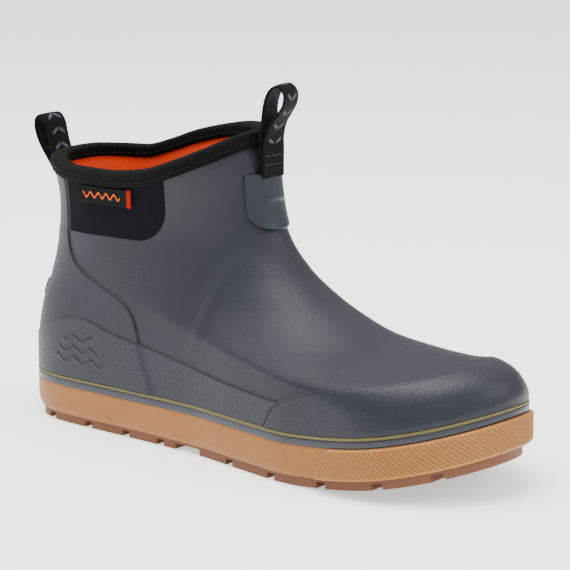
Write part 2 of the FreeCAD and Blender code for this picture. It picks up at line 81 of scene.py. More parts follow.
class SmoothCurve:
    """A curve through points that never overshoots between them."""

    def __init__(self, points: Sequence[tuple[float, float]]) -> None:
        """Work out the slope at each point as the harmonic mean of its neighbours' rises.

        Args:
            points: (place, value) pairs in order of place.
        """
        self.x = np.array([p[0] for p in points], float)
        self.y = np.array([p[1] for p in points], float)
        step = np.diff(self.x)
        rise = np.diff(self.y) / step
        slope = np.zeros_like(self.x)
        slope[0], slope[-1] = rise[0], rise[-1]
        w1 = 2 * step[1:] + step[:-1]
        w2 = step[1:] + 2 * step[:-1]
        same = rise[:-1] * rise[1:] > 0
        before = np.where(same, rise[:-1], 1.0)
        after = np.where(same, rise[1:], 1.0)
        slope[1:-1] = np.where(same, (w1 + w2) / (w1 / before + w2 / after), 0.0)
        self.slope = slope

    def __call__(self, place: Array) -> Array:
        """Value at each place, held constant past both ends.

        Args:
            place: places to read the curve at.

        Returns:
            The values, in the shape of place.
        """
        place = np.clip(place, self.x[0], self.x[-1])
        k = np.clip(np.searchsorted(self.x, place, side="right") - 1, 0, len(self.x) - 2)
        step = self.x[k + 1] - self.x[k]
        s = (place - self.x[k]) / step
        rise = self.y[k + 1] - self.y[k]
        lead = self.slope[k] * step * s * (1 - s) ** 2
        trail = self.slope[k + 1] * step * s * s * (1 - s)
        return self.y[k] + rise * s * s * (3 - 2 * s) + lead - trail


def smooth_step(value: Array, low: float, high: float) -> Array:
    """Rise smoothly from 0 at low to 1 at high, as 3s^2 - 2s^3."""
    s = np.clip((value - low) / (high - low), 0.0, 1.0)
    return s * s * (3 - 2 * s)


def travelled(line: Array) -> Array:
    """Distance travelled along a line at each of its points."""
    return np.concatenate([[0], np.cumsum(np.linalg.norm(np.diff(line, axis=0), axis=1))])


def spline(points: Sequence[tuple[float, ...]], count: int) -> Array:
    """Sample a Catmull-Rom spline evenly along its length.

    Args:
        points: the points that the spline passes through.
        count: how many samples to return.

    Returns:
        Array of count rows.
    """
    p = np.array(points, float)
    p = np.vstack([2 * p[0] - p[1], p, 2 * p[-1] - p[-2]])
    s = np.linspace(0, 1, 24, endpoint=False)[:, None]
    rows = []
    for a, b, c, d in zip(p, p[1:], p[2:], p[3:]):
        rows.append(0.5 * (2 * b + (c - a) * s + (2 * a - 5 * b + 4 * c - d) * s ** 2
                           + (3 * b - a - 3 * c + d) * s ** 3))
    line = np.vstack(rows + [p[-2:-1]])
    travel = travelled(line)
    wanted = np.linspace(0, travel[-1], count)
    return np.stack([np.interp(wanted, travel, line[:, k]) for k in range(line.shape[1])], -1)


def beside_path(path: Array, x: Array, z: Array) -> Array:
    """Signed distance to an open path in the side view, positive on its left.

    Each point takes the nearest straight run, and the sign is that of the cross
    product of the run with the way to the point.

    Args:
        path: rows of (x, z).
        x: places along the foot.
        z: heights.

    Returns:
        Distances in the shape of x.
    """
    best = np.full(x.shape, 1e9)
    sign = np.ones(x.shape)
    for (ax, az), (bx, bz) in zip(path, path[1:]):
        dx, dz = bx - ax, bz - az
        share = np.clip(((x - ax) * dx + (z - az) * dz) / (dx * dx + dz * dz), 0, 1)
        distance = np.hypot(x - ax - share * dx, z - az - share * dz)
        nearer = distance < best
        best = np.where(nearer, distance, best)
        sign = np.where(nearer, np.sign(dx * (z - az) - dz * (x - ax)), sign)
    return best * sign


def inside_rounded(y: Array, z: Array, half: float, low: float, high: float, corner: float,
                   top_corner: float) -> Array:
    """Distance inside a rectangle with rounded corners, which may be larger at its foot.

    Args:
        y: places across it, from its middle.
        z: heights.
        half: half its width.
        low: its lower edge.
        high: its upper edge.
        corner: radius of the lower corners.
        top_corner: radius of the upper corners.

    Returns:
        Distances in the shape of y, negative outside.
    """
    size = np.where(z < (low + high) / 2, corner, top_corner)
    reach_y = np.abs(y) - half + size
    reach_z = np.abs(z - (low + high) / 2) - (high - low) / 2 + size
    curved = size - np.hypot(np.maximum(reach_y, 0), np.maximum(reach_z, 0))
    return np.where((reach_y < 0) | (reach_z < 0), size - np.maximum(reach_y, reach_z), curved)


# ------------------------------------------------------------------ the last

@dataclass
class Last:
    """The surface that every layer follows, in millimetres.

    Levels count up from a datum, and the ground lies at the level called ground.
    """

    base_level: float = 33.0
    ground: float = 3.8
    spring_start: float = 38.7
    spring_radius: float = 342.0
    heel_squareness: float = 2.8
    toe_roundness: float = 2.0
    heel_spacing: float = 1.4
    heel_line: SmoothCurve = field(default_factory=lambda: SmoothCurve([
        (30, -149.8), (33, -149.8), (48, -149.9), (65, -146.9), (85, -138.9), (105, -133.5),
        (125, -132.0), (145, -134.7), (190, -137.0)]))
    front_line: SmoothCurve = field(default_factory=lambda: SmoothCurve([
        (30, 149.2), (33, 149.2), (42, 145.8), (52, 134.9), (60, 107.0), (68, 78.0), (76, 60.0),
        (86, 42.0), (98, 25.3), (112, 13.0), (126, 6.2), (140, 2.6), (156, 0.0), (172, -6.7),
        (190, -11.0)]))
    heel_round: SmoothCurve = field(default_factory=lambda: SmoothCurve([
        (33, 44), (80, 46), (120, 52), (170, 56)]))
    front_round: dict[Side, SmoothCurve] = field(default_factory=lambda: {
        Side.LATERAL: SmoothCurve([(33, 58), (50, 70), (65, 100), (85, 125), (110, 120),
                                   (130, 95), (150, 72), (190, 60)]),
        Side.MEDIAL: SmoothCurve([(33, 68), (50, 82), (65, 108), (85, 125), (110, 120),
                                  (130, 95), (150, 72), (190, 60)])})
    half_width: dict[Side, SmoothCurve] = field(default_factory=lambda: {
        Side.LATERAL: SmoothCurve([(-150, 34), (-110, 35.5), (-60, 36.5), (-20, 38.5), (20, 45),
                                   (55, 49.5), (85, 49.5), (120, 48), (152, 46)]),
        Side.MEDIAL: SmoothCurve([(-150, 34), (-110, 35.5), (-60, 34), (-20, 34.5), (20, 42),
                                  (55, 49), (85, 49.5), (120, 47), (152, 45)])})
    width_kept: SmoothCurve = field(default_factory=lambda: SmoothCurve([
        (33, 1.0), (60, 0.985), (90, 0.96), (120, 0.98), (150, 1.06), (175, 1.14), (190, 1.16)]))
    centre_line: SmoothCurve = field(default_factory=lambda: SmoothCurve([
        (-150, 0), (20, 0), (90, 1), (152, 5)]))
    collar_line: dict[Side, SmoothCurve] = field(default_factory=lambda: {
        Side.LATERAL: SmoothCurve([(-140, 152), (-128, 149.5), (-105, 146.2), (-80, 146),
                                   (-56, 148), (-36, 154), (-18, 162), (-4, 171)]),
        Side.MEDIAL: SmoothCurve([(-140, 152), (-128, 150), (-114, 149.5), (-95, 154), (-77, 160),
                                  (-56, 165), (-36, 168.5), (-4, 171)])})
    rand_line: SmoothCurve = field(default_factory=lambda: SmoothCurve([
        (-151, 44), (-142, 50), (-129, 57), (-112, 63.5), (-100, 64.5), (-79, 60), (-42, 54),
        (7, 47), (48, 44.6)]))
    cap_edge: tuple[tuple[float, float], ...] = (
        (34, 24.0), (36.5, 30.0), (39, 34.5), (42, 39.5), (48, 44.6), (56, 48.4), (68, 51), (86, 52.5),
        (112, 52.6))
    cap_front: float = 56.0

    def by_side(self, curves: dict[Side, SmoothCurve], turn: Array, place: Array) -> Array:
        """Read the lateral curve where turn is negative and the medial one elsewhere."""
        return np.where(turn < 0, curves[Side.LATERAL](place), curves[Side.MEDIAL](place))

    def flat(self, turn: Array, level: Array) -> Array:
        """Points of the surface before the toe spring.

        x runs as a cosine of the turn from heel to front. y is the half width there,
        times 1 - (1 - q)^n to the power 1/n at each end, where q is the share of the
        rounded end that has been passed.

        Args:
            turn: 0 at the heel, -1 or 1 at the front, negative on the lateral side.
            level: height of the cut.

        Returns:
            Array with a last axis of x, y, z.
        """
        turn, level = np.broadcast_arrays(np.asarray(turn, float), np.asarray(level, float))
        turn = (turn + 1.0) % 2.0 - 1.0
        cut = np.maximum(level, self.base_level)
        back, front = self.heel_line(cut), self.front_line(cut)
        x = (back + front) / 2 - (front - back) / 2 * np.cos(np.pi * np.abs(turn) ** self.heel_spacing)
        width = self.by_side(self.half_width, turn, x) * self.width_kept(cut)
        width = width * self.rounding((x - back) / self.heel_round(cut), self.heel_squareness)
        width = width * self.rounding((front - x) / self.by_side(self.front_round, turn, cut),
                                      self.toe_roundness)
        return np.stack([x, np.where(turn < 0, -width, width) + self.centre_line(x), level], -1)

    @staticmethod
    def rounding(share: Array, power: float) -> Array:
        """Share of the full width at this share of a rounded end."""
        return (1 - (1 - np.clip(share, 0, 1)) ** power) ** (1 / power)

    def spring(self, x: Array) -> Array:
        """How far the sole has curled up at place x, along an arc."""
        past = np.maximum(x - self.spring_start, 0)
        return self.spring_radius - np.sqrt(self.spring_radius ** 2 - past ** 2)

    def point(self, turn: Array, level: Array, depth: Array) -> Array:
        """Points at a depth outside the surface, along its normal, with the toe spring.

        Args:
            turn: place round the boot.
            level: height of the cut.
            depth: distance outside the surface, negative inside.

        Returns:
            Array with a last axis of x, y, z.
        """
        turn, level, depth = np.broadcast_arrays(turn, level, depth)
        here = self.flat(turn, level)
        along = self.flat(turn + 0.004, level) - self.flat(turn - 0.004, level)
        up = self.flat(turn, level + 0.4) - self.flat(turn, level - 0.4)
        outward = np.cross(up, along)
        outward /= np.linalg.norm(outward, axis=-1, keepdims=True)
        there = here + outward * np.asarray(depth)[..., None]
        there[..., 2] += self.spring(there[..., 0]) - self.ground
        return there

    def turn_at(self, x: Array, level: Array, side: Side) -> Array:
        """The turn on one side whose surface point lies at place x."""
        cut = np.maximum(level, self.base_level)
        back, front = self.heel_line(cut), self.front_line(cut)
        angle = np.arccos(np.clip(((back + front) / 2 - x) / ((front - back) / 2), -1, 1))
        return side.value * (angle / np.pi) ** (1 / self.heel_spacing)

    def collar(self, turn: Array) -> Array:
        """Level of the collar's top. It depends on x, so it is found in steps."""
        level = np.full(np.shape(turn), 150.0)
        wrapped = (np.asarray(turn) + 1.0) % 2.0 - 1.0
        for _ in range(14):
            level = self.by_side(self.collar_line, wrapped, self.flat(turn, level)[..., 0])
        return level

    def cap_level(self, turn: Array) -> Array:
        """Level of the toe cap's edge."""
        points = [(abs(float(self.turn_at(x, level, Side.MEDIAL))), level)
                  for x, level in self.cap_edge]
        mirrored = (2.0 - points[-1][0], points[-1][1])
        curve = SmoothCurve(points + [(1.0, self.cap_front), mirrored])
        return curve(np.abs((np.asarray(turn) + 1.0) % 2.0 - 1.0))


LAST = Last()


# ------------------------------------------------------------------ meshes

@dataclass
class Skin:
    """A mesh in the making: points in millimetres, faces, and values at the points."""

    points: Array
    faces: list[Array]
    uv: Array | None = None
    values: dict[str, Array] = field(default_factory=dict)

    def joined(self, other: "Skin") -> "Skin":
        """This skin and another one as a single skin."""
        start = len(self.points)
        faces = self.faces + [face + start for face in other.faces]
        uv = None if self.uv is None or other.uv is None else np.vstack([self.uv, other.uv])
        values = {k: np.concatenate([v, other.values[k]]) for k, v in self.values.items()}
        return Skin(np.vstack([self.points, other.points]), faces, uv, values)


def grid_faces(rows: int, columns: int, wrap_rows: bool, wrap_columns: bool) -> Array:
    """Quads of a grid whose point k is row * columns + column.

    Args:
        rows: number of rows of points.
        columns: number of points in a row.
        wrap_rows: whether the last row meets the first.
        wrap_columns: whether the last column meets the first.

    Returns:
        Array of point numbers, four to a row.
    """
    r = np.arange(rows if wrap_rows else rows - 1)[:, None]
    c = np.arange(columns if wrap_columns else columns - 1)[None, :]
    r2, c2 = (r + 1) % rows, (c + 1) % columns
    quads = [r * columns + c, r2 * columns + c, r2 * columns + c2, r * columns + c2]
    return np.stack(np.broadcast_arrays(*quads), -1).reshape(-1, 4)


def grid_lengths(grid: Array) -> Array:
    """Distance travelled along both ways of a grid, in metres, for a UV map."""
    u = np.zeros(grid.shape[:2])
    v = np.zeros(grid.shape[:2])
    u[1:] = np.cumsum(np.linalg.norm(np.diff(grid, axis=0), axis=-1), axis=0)
    v[:, 1:] = np.cumsum(np.linalg.norm(np.diff(grid, axis=1), axis=-1), axis=1)
    middle = grid.shape[1] // 2
    return np.stack([np.broadcast_to(u[:, middle:middle + 1], u.shape), v], -1) * MM


def volume(points: Array, quads: Array) -> float:
    """Signed volume inside quads: a sum of tetrahedra from the origin."""
    a, b, c, d = (points[quads[:, k]] for k in range(4))
    halves = (np.einsum("ij,ij->i", a, np.cross(p, q)) for p, q in ((b, c), (c, d)))
    return float(sum(halves).sum() / 6)


def wall(outer: Array, inner: Array, closed: bool = False, **values: Array) -> Skin:
    """A closed skin from an outer and an inner grid, joined round their borders.

    Args:
        outer: grid of rows x columns x 3.
        inner: grid of the same size.
        closed: whether the last row meets the first.
        values: named values at the grid's points, used on both grids.

    Returns:
        The skin, with its faces pointing outwards.
    """
    rows, columns = outer.shape[:2]
    total = rows * columns
    index = np.arange(total).reshape(rows, columns)
    face = grid_faces(rows, columns, closed, False)
    quads = [face, face[:, ::-1] + total]
    borders = [(index[:, 0], True), (index[:, -1], False)]
    if not closed:
        borders += [(index[0, :], False), (index[-1, :], True)]
    for line, turned in borders:
        a, b = line, np.roll(line, -1)
        if not (closed and len(line) == rows):
            a, b = line[:-1], line[1:]
        side = np.stack([a, b, b + total, a + total], -1)
        quads.append(side[:, ::-1] if turned else side)
    points = np.vstack([outer.reshape(-1, 3), inner.reshape(-1, 3)])
    faces = np.vstack(quads)
    if volume(points, faces) < 0:
        faces = faces[:, ::-1]
    uv = grid_lengths(outer).reshape(-1, 2)
    both = {k: np.tile(v.reshape(-1), 2) for k, v in values.items()}
    return Skin(points, [faces], np.vstack([uv, uv]), both)


def loop_skin(grid: Array, closed: bool, **values: Array) -> Skin:
    """A skin from closed profiles, one a row. An open one gets a cap at each end.

    Args:
        grid: profiles x points x 3.
        closed: whether the last profile meets the first.
        values: named values at the grid's points.

    Returns:
        The skin, with its faces pointing outwards.
    """
    rows, columns = grid.shape[:2]
    points = grid.reshape(-1, 3)
    quads = grid_faces(rows, columns, closed, True)
    flip = volume(points - points.mean(0), quads) < 0
    faces = [quads[:, ::-1] if flip else quads]
    if not closed:
        first, last = np.arange(columns), np.arange(columns) + (rows - 1) * columns
        faces.append((first if flip else first[::-1])[None, ::-1])
        faces.append((last[::-1] if flip else last)[None, ::-1])
    uv = grid_lengths(grid).reshape(-1, 2)
    return Skin(points, faces, uv, {k: v.reshape(-1) for k, v in values.items()})


def make_piece(name: str, skin: Skin, body: str, material: bpy.types.Material,
               stands_for: Sequence[str] = (),
               bend: tuple[Vector, Vector] | None = None) -> bpy.types.Object:
    """Put a skin into a mesh object that rides on a body, unless a bend is given.

    Args:
        name: the piece's name.
        skin: points in millimetres and faces.
        body: the body that it rides on.
        material: its finish.
        stands_for: CAD nodes that it replaces.
        bend: if given, the piece is baked where it stands and put on no body; the span itself is not used.

    Returns:
        The new object.
    """
    mesh = bpy.data.meshes.new(name)
    points = skin.points * MM
    loops = np.concatenate([face.reshape(-1) for face in skin.faces])
    sizes = np.concatenate([np.full(len(face), face.shape[1]) for face in skin.faces])
    starts = np.concatenate([[0], np.cumsum(sizes)[:-1]])
    mesh.vertices.add(len(points))
    mesh.vertices.foreach_set("co", points.astype(np.float32).reshape(-1))
    mesh.loops.add(len(loops))
    mesh.loops.foreach_set("vertex_index", loops.astype(np.int32))
    mesh.polygons.add(len(sizes))
    mesh.polygons.foreach_set("loop_start", starts.astype(np.int32))
    mesh.update(calc_edges=True)
    if skin.uv is not None:
        layer = mesh.uv_layers.new(name="UVMap")
        layer.data.foreach_set("uv", skin.uv[loops].astype(np.float32).reshape(-1))
    for key, values in skin.values.items():
        attribute = mesh.attributes.new(key, "FLOAT", "POINT")
        attribute.data.foreach_set("value", values.astype(np.float32))
    mesh.shade_smooth()
    mesh.validate()
    mesh.materials.append(material)
    piece = bpy.data.objects.new(name, mesh)
    bpy.context.scene.collection.objects.link(piece)
    if stands_for:
        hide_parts(*stands_for)
    if bend:
        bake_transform(piece)
    else:
        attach(piece, body)
    LOG.info("%s: %d points, %d faces, on %s", name, len(points), len(sizes), body)
    return piece


def flat_section(wide: float, thick: float, across: int, turns: int) -> tuple[Array, Array]:
    """Closed outline of a flat strip: even points along both faces, rounded edges.

    Args:
        wide: width of the strip.
        thick: its thickness.
        across: points along a face.
        turns: points round an edge.

    Returns:
        Places across the width and through the thickness.
    """
    flat = np.linspace(-1, 1, across) * (wide - thick) / 2
    arc = np.linspace(np.pi / 2, -np.pi / 2, turns + 2)[1:-1]
    edge_a, edge_t = (wide - thick) / 2 + thick / 2 * np.cos(arc), thick / 2 * np.sin(arc)
    face = np.full(across, thick / 2)
    return (np.concatenate([flat, edge_a, flat[::-1], -edge_a[::-1]]),
            np.concatenate([face, edge_t, -face, edge_t[::-1]]))


def stitches(line: Array, outward: Array, pitch: float, length: float, radius: float) -> Skin:
    """A row of thread stitches along a line: small rounded bars that dip at both ends.

    Args:
        line: closely spaced points that the row follows, in millimetres.
        outward: unit vectors away from the surface at those points.
        pitch: distance from one stitch to the next.
        length: length of a stitch.
        radius: radius of the thread.

    Returns:
        One skin with every stitch.
    """
    travel = travelled(line)
    centres = np.arange(pitch / 2, travel[-1], pitch)
    along = np.linspace(-0.5, 0.5, 5)
    places = centres[:, None] + along[None, :] * length
    at = np.stack([np.interp(places, travel, line[:, k]) for k in range(3)], -1)
    out = np.stack([np.interp(places, travel, outward[:, k]) for k in range(3)], -1)
    out /= np.linalg.norm(out, axis=-1, keepdims=True)
    forward = np.gradient(at, axis=1)
    forward /= np.linalg.norm(forward, axis=-1, keepdims=True)
    across = np.cross(forward, out)
    sides = 6
    angle = np.arange(sides) * 2 * np.pi / sides
    size = radius * np.sqrt(np.clip(1 - (2 * along) ** 2 * 0.86, 0, 1))
    lift = radius * (0.55 - 1.5 * np.abs(2 * along) ** 3)
    centre = at + out * lift[None, :, None]
    ring = (np.cos(angle)[:, None] * across[:, :, None, :] + np.sin(angle)[:, None] * out[:, :, None, :])
    grid = centre[:, :, None, :] + ring * size[None, :, None, None]
    count = len(centres)
    each = 5 * sides
    quads = grid_faces(5, sides, False, True)
    caps = np.stack([np.arange(sides)[::-1], np.arange(sides) + 4 * sides])
    shift = (np.arange(count) * each)[:, None, None]
    points = grid.reshape(-1, 3)
    quads = (quads[None] + shift).reshape(-1, 4)
    caps = (caps[None] + shift).reshape(-1, sides)
    if volume(points[:each] - points[:each].mean(0), quads[:len(quads) // count]) < 0:
        quads = quads[:, ::-1]
    else:
        caps = caps[:, ::-1]
    return Skin(points, [quads, caps[:, ::-1]])


# ------------------------------------------------------------------ finishes

def linear(colour: str) -> tuple[float, float, float, float]:
    """Turn an sRGB hex colour such as #4a5057 into linear values."""
    parts = [int(colour[k:k + 2], 16) / 255 for k in (1, 3, 5)]
    return (*[c / 12.92 if c <= 0.04045 else ((c + 0.055) / 1.055) ** 2.4 for c in parts], 1.0)


def node(tree: bpy.types.NodeTree, kind: str, settings: dict | None = None, **links) -> bpy.types.Node:
    """Add a node with its settings and inputs.

    Args:
        tree: the node tree.
        kind: the node's type name.
        settings: attributes to set on it.
        links: input name, with _ for a space, to a value or to a socket to link from.

    Returns:
        The node.
    """
    made = tree.nodes.new(kind)
    for key, value in (settings or {}).items():
        setattr(made, key, value)
    for key, value in links.items():
        number = key[2:] if key.startswith("in") and key[2:].isdigit() else None
        socket = made.inputs[int(number)] if number else made.inputs[key.replace("_", " ")]
        if isinstance(value, bpy.types.NodeSocket):
            tree.links.new(value, socket)
        else:
            socket.default_value = value
    return made


def start_material(name: str) -> tuple[bpy.types.Material, bpy.types.NodeTree, bpy.types.Node]:
    """Make a material, and return it with its node tree and its shader."""
    material = bpy.data.materials.new(name)
    material.use_nodes = True
    tree = material.node_tree
    return material, tree, tree.nodes["Principled BSDF"]


def mixed(tree: bpy.types.NodeTree, factor: bpy.types.NodeSocket,
          first: bpy.types.NodeSocket | str, second: str) -> bpy.types.NodeSocket:
    """Mix two colours.

    Args:
        tree: the node tree.
        factor: share of the second colour.
        first: a hex colour, or a socket that gives one.
        second: a hex colour.

    Returns:
        The socket of the mixed colour.
    """
    mix = node(tree, "ShaderNodeMix", {"data_type": "RGBA"}, Factor=factor)
    if isinstance(first, str):
        mix.inputs["A"].default_value = linear(first)
    else:
        tree.links.new(first, mix.inputs["A"])
    mix.inputs["B"].default_value = linear(second)
    return mix.outputs["Result"]


def per_metre(size_mm: float) -> float:
    """Texture scale for features of this size in millimetres."""
    return 1000.0 / size_mm


class Weave(Enum):
    """How a textile's surface runs."""

    RIB = "upright ribs"
    TWILL = "slanting ribs"
    KNIT = "fine round loops"


@dataclass(frozen=True)
class Rubber:
    """Vulcanised rubber: matt, with the grain of its mould and slow changes of tone."""

    name: str
    colour: str
    shade: str
    grain_mm: float
    grain_depth_mm: float
    roughness: float
    specular: float = 0.5
    mark: str = ""
    mark_colour: str = "#000000"

    def build(self) -> bpy.types.Material:
        """Make the material: round grain over finer grit for the bump and for painted shade in its pits, slow
        noise for tone.

        Returns:
            The material.
        """
        material, tree, shader = start_material(self.name)
        place = node(tree, "ShaderNodeTexCoord").outputs["Object"]
        slow = node(tree, "ShaderNodeTexNoise", Vector=place, Scale=per_metre(38), Detail=3.0)
        tone = node(tree, "ShaderNodeMapRange", Value=slow.outputs["Fac"], From_Min=0.3, From_Max=0.7)
        result = mixed(tree, tone.outputs["Result"], self.colour, self.shade)
        cells = node(tree, "ShaderNodeTexVoronoi", {"feature": "SMOOTH_F1"}, Vector=place,
                     Scale=per_metre(self.grain_mm), Smoothness=0.8)
        grit = node(tree, "ShaderNodeTexNoise", Vector=place, Scale=per_metre(self.grain_mm * 0.6),
                    Detail=4.0, Roughness=0.6)
        height = node(tree, "ShaderNodeMix", Factor=0.55)
        tree.links.new(cells.outputs["Distance"], height.inputs["A"])
        tree.links.new(grit.outputs["Fac"], height.inputs["B"])
        # The grain is painted a little darker in its pits and a little lighter on its tops: painted shade and
        # painted light.
        grain_painted_shade = node(tree, "ShaderNodeMapRange", Value=height.outputs["Result"], From_Min=0.25,
                    From_Max=0.6, To_Min=0.93, To_Max=1.06)
        shaded = node(tree, "ShaderNodeVectorMath", {"operation": "SCALE"}, Scale=grain_painted_shade.outputs["Result"])
        tree.links.new(result, shaded.inputs[0])
        result = shaded.outputs["Vector"]
        if self.mark:
            # The mark paints print, and painted shade along edges and in grooves.
            value = node(tree, "ShaderNodeAttribute", {"attribute_name": self.mark}).outputs["Fac"]
            result = mixed(tree, value, result, self.mark_colour)
        tree.links.new(result, shader.inputs["Base Color"])
        rough = node(tree, "ShaderNodeMapRange", Value=grit.outputs["Fac"], From_Min=0.3, From_Max=0.7,
                     To_Min=self.roughness - 0.05, To_Max=self.roughness + 0.07)
        tree.links.new(rough.outputs["Result"], shader.inputs["Roughness"])
        bump = node(tree, "ShaderNodeBump", Height=height.outputs["Result"],
                    Distance=self.grain_depth_mm * MM, Strength=1.0)
        tree.links.new(bump.outputs["Normal"], shader.inputs["Normal"])
        shader.inputs["Specular IOR Level"].default_value = self.specular
        shader.inputs["IOR"].default_value = 1.52
        return material


@dataclass(frozen=True)
class Textile:
    """Woven or knitted yarn: its weave follows the piece's own UV map, in real sizes."""

    name: str
    colour: str
    shade: str
    weave: Weave
    yarn_mm: float
    relief_mm: float
    sheen: float
    roughness: float = 0.85
    mark: str = ""
    mark_colour: str = "#000000"
    second_mark: str = ""
    second_colour: str = "#000000"

    def build(self) -> bpy.types.Material:
        """Make the material: bands of yarn for the bump, and painted shade where the bands are low.

        Returns:
            The material.
        """
        material, tree, shader = start_material(self.name)
        coordinates = node(tree, "ShaderNodeTexCoord")
        place = coordinates.outputs["UV"]
        if self.weave is Weave.KNIT:
            yarn = node(tree, "ShaderNodeTexVoronoi", Vector=place, Scale=per_metre(self.yarn_mm),
                        Randomness=0.55).outputs["Distance"]
        else:
            slant = 0.0 if self.weave is Weave.RIB else math.radians(38)
            turned = node(tree, "ShaderNodeMapping", Vector=place, Rotation=(0, 0, slant))
            # At scale 1 the bands repeat every pi / 10 of a unit. This gives each yarn a band.
            scale = per_metre(self.yarn_mm) * math.pi / 10
            yarn = node(tree, "ShaderNodeTexWave", {"wave_profile": "SIN", "bands_direction": "X"},
                        Vector=turned.outputs["Vector"], Scale=scale, Distortion=0.6,
                        Detail=1.0).outputs["Fac"]
        lint = node(tree, "ShaderNodeTexNoise", Vector=coordinates.outputs["Object"],
                    Scale=per_metre(0.9), Detail=3.0)
        height = node(tree, "ShaderNodeMix", Factor=0.4)
        tree.links.new(yarn, height.inputs["A"])
        tree.links.new(lint.outputs["Fac"], height.inputs["B"])
        # The weave's low parts take the darker colour: painted shade between the yarns, with the lint adding
        # random tone.
        tone = node(tree, "ShaderNodeMapRange", Value=height.outputs["Result"], From_Min=0.2, From_Max=0.8)
        result = mixed(tree, tone.outputs["Result"], self.shade, self.colour)
        for mark, ink in ((self.mark, self.mark_colour), (self.second_mark, self.second_colour)):
            if not mark:
                continue
            value = node(tree, "ShaderNodeAttribute", {"attribute_name": mark}).outputs["Fac"]
            result = mixed(tree, value, result, ink)
        tree.links.new(result, shader.inputs["Base Color"])
        bump = node(tree, "ShaderNodeBump", Height=height.outputs["Result"],
                    Distance=self.relief_mm * MM, Strength=1.0)
        tree.links.new(bump.outputs["Normal"], shader.inputs["Normal"])
        shader.inputs["Roughness"].default_value = self.roughness
        shader.inputs["Sheen Weight"].default_value = self.sheen
        shader.inputs["Sheen Roughness"].default_value = 0.5
        shader.inputs["Specular IOR Level"].default_value = 0.12
        return material


class Finishes:
    """The boot's materials, made once each."""

    def __init__(self) -> None:
        """Build every finish."""
        # Natural rubber pressed in a sandblasted mould: matt slate grey with a fine pebble.
        # Its mark colour is the painted shade along the heel counter's edge.
        self.upper = Rubber("natural_rubber_slate_matt_pebbled", "#1f2229", "#1a1d23", 1.1, 0.16,
                            0.5, 0.26, mark="motif", mark_colour="#07080a").build()
        # The reinforcing overlays come from a coarser mould, so their grain catches more light.
        # Its mark colour is the wave ornament and the painted shade along the overlays' edges.
        self.overlay = Rubber("natural_rubber_slate_coarse_grain", "#191d25", "#151820", 1.3, 0.24,
                              0.45, 0.3, mark="motif", mark_colour="#07080a").build()
        # Its mark colour is the painted shade round the patches' edges.
        self.patch = Rubber("natural_rubber_slate_patch", "#23272e", "#1e2228", 1.1, 0.15, 0.5, 0.26,
                            mark="motif", mark_colour="#07080a").build()
        # Gum rubber wall, wiped smooth: warm tan with a soft shine.
        self.wall = Rubber("gum_rubber_tan_satin", "#8e5a24", "#84521f", 1.6, 0.03, 0.45, 0.28).build()
        # Its mark colour is the painted shade in the diamond grooves and along the bumper's edge.
        self.bumper = Rubber("gum_rubber_tan_diamond_moulded", "#a87233", "#9c682c", 0.8, 0.02, 0.48, 0.3,
                             mark="motif", mark_colour="#66421a").build()
        self.tread = Rubber("gum_rubber_brown_tread", "#6f472e", "#653f28", 1.2, 0.08, 0.62, 0.28).build()
        self.stripe = Rubber("calendered_rubber_grey_semi_gloss", "#1b1d2a", "#181a25", 6.0, 0.02,
                             0.34, 0.45).build()
        self.pinstripe = Rubber("calendered_rubber_olive", "#5f5730", "#564e29", 1.6, 0.03, 0.5, 0.3).build()
        self.badge = Rubber("moulded_rubber_charcoal", "#121316", "#0e0f11", 0.8, 0.06, 0.55, 0.3).build()
        self.gore = Textile("elastic_webbing_midnight_ribbed", "#0f0d17", "#06050a", Weave.RIB, 0.8, 0.06, 0.0,
                            0.95).build()
        self.binding = Textile("knit_binding_tape_black", "#0b0a09", "#050404", Weave.TWILL, 1.0, 0.08, 0.0,
                               0.9).build()
        self.thread = Textile("polyester_thread_black", "#1b1918", "#0f0e0e", Weave.TWILL, 0.5, 0.05, 0.0,
                              0.55).build()
        self.pale_thread = Textile("polyester_thread_grey", "#6b6b6e", "#525255", Weave.TWILL, 0.5, 0.05, 0.0,
                                   0.6).build()
        # Brushed jersey on neoprene: saturated orange that glows at a glancing angle.
        self.jersey = Textile("neoprene_jersey_orange", "#d83c02", "#bf2f00", Weave.KNIT, 0.9, 0.12,
                              0.08).build()
        self.tape = Textile("woven_webbing_black_twill", "#08090b", "#030304", Weave.TWILL, 0.9, 0.10, 0.0, 0.8,
                            "motif", "#4a4a54", "reverse", "#262630").build()
        self.label = Textile("damask_label_charcoal", "#0d1010", "#080a0a", Weave.RIB, 0.5, 0.05, 0.0, 0.85,
                             "motif", "#d9540d", "reverse", "#8c1400").build()
        self.cloth = Textile("brushed_footbed_cloth_orange", "#c8470f", "#ad3a0a", Weave.KNIT, 0.8, 0.1,
                             0.1).build()
        self.foam = Rubber("polyurethane_foam_black", "#131316", "#0f0f12", 0.8, 0.1, 0.8, 0.3).build()
        self.board = Rubber("pressed_fibre_board", "#7d6540", "#705937", 0.7, 0.08, 0.85, 0.3).build()


# ------------------------------------------------------------------ upper

SINK = -0.45            # depth at which an overlay's edge goes under the rubber below it
TOP_LEVEL = 171.0       # level above the highest point of the collar
OVERLAY_FOOT = 28.6     # lowest level of the toe cap's and rands' grids
OVERLAY_TRIM = 30.2     # level where they end, behind the olive stripe
STITCH_PITCH = 4.2      # one stitch of the binding to the next
STITCH_RISE = 2.4       # height of that row above the tape's lower edge


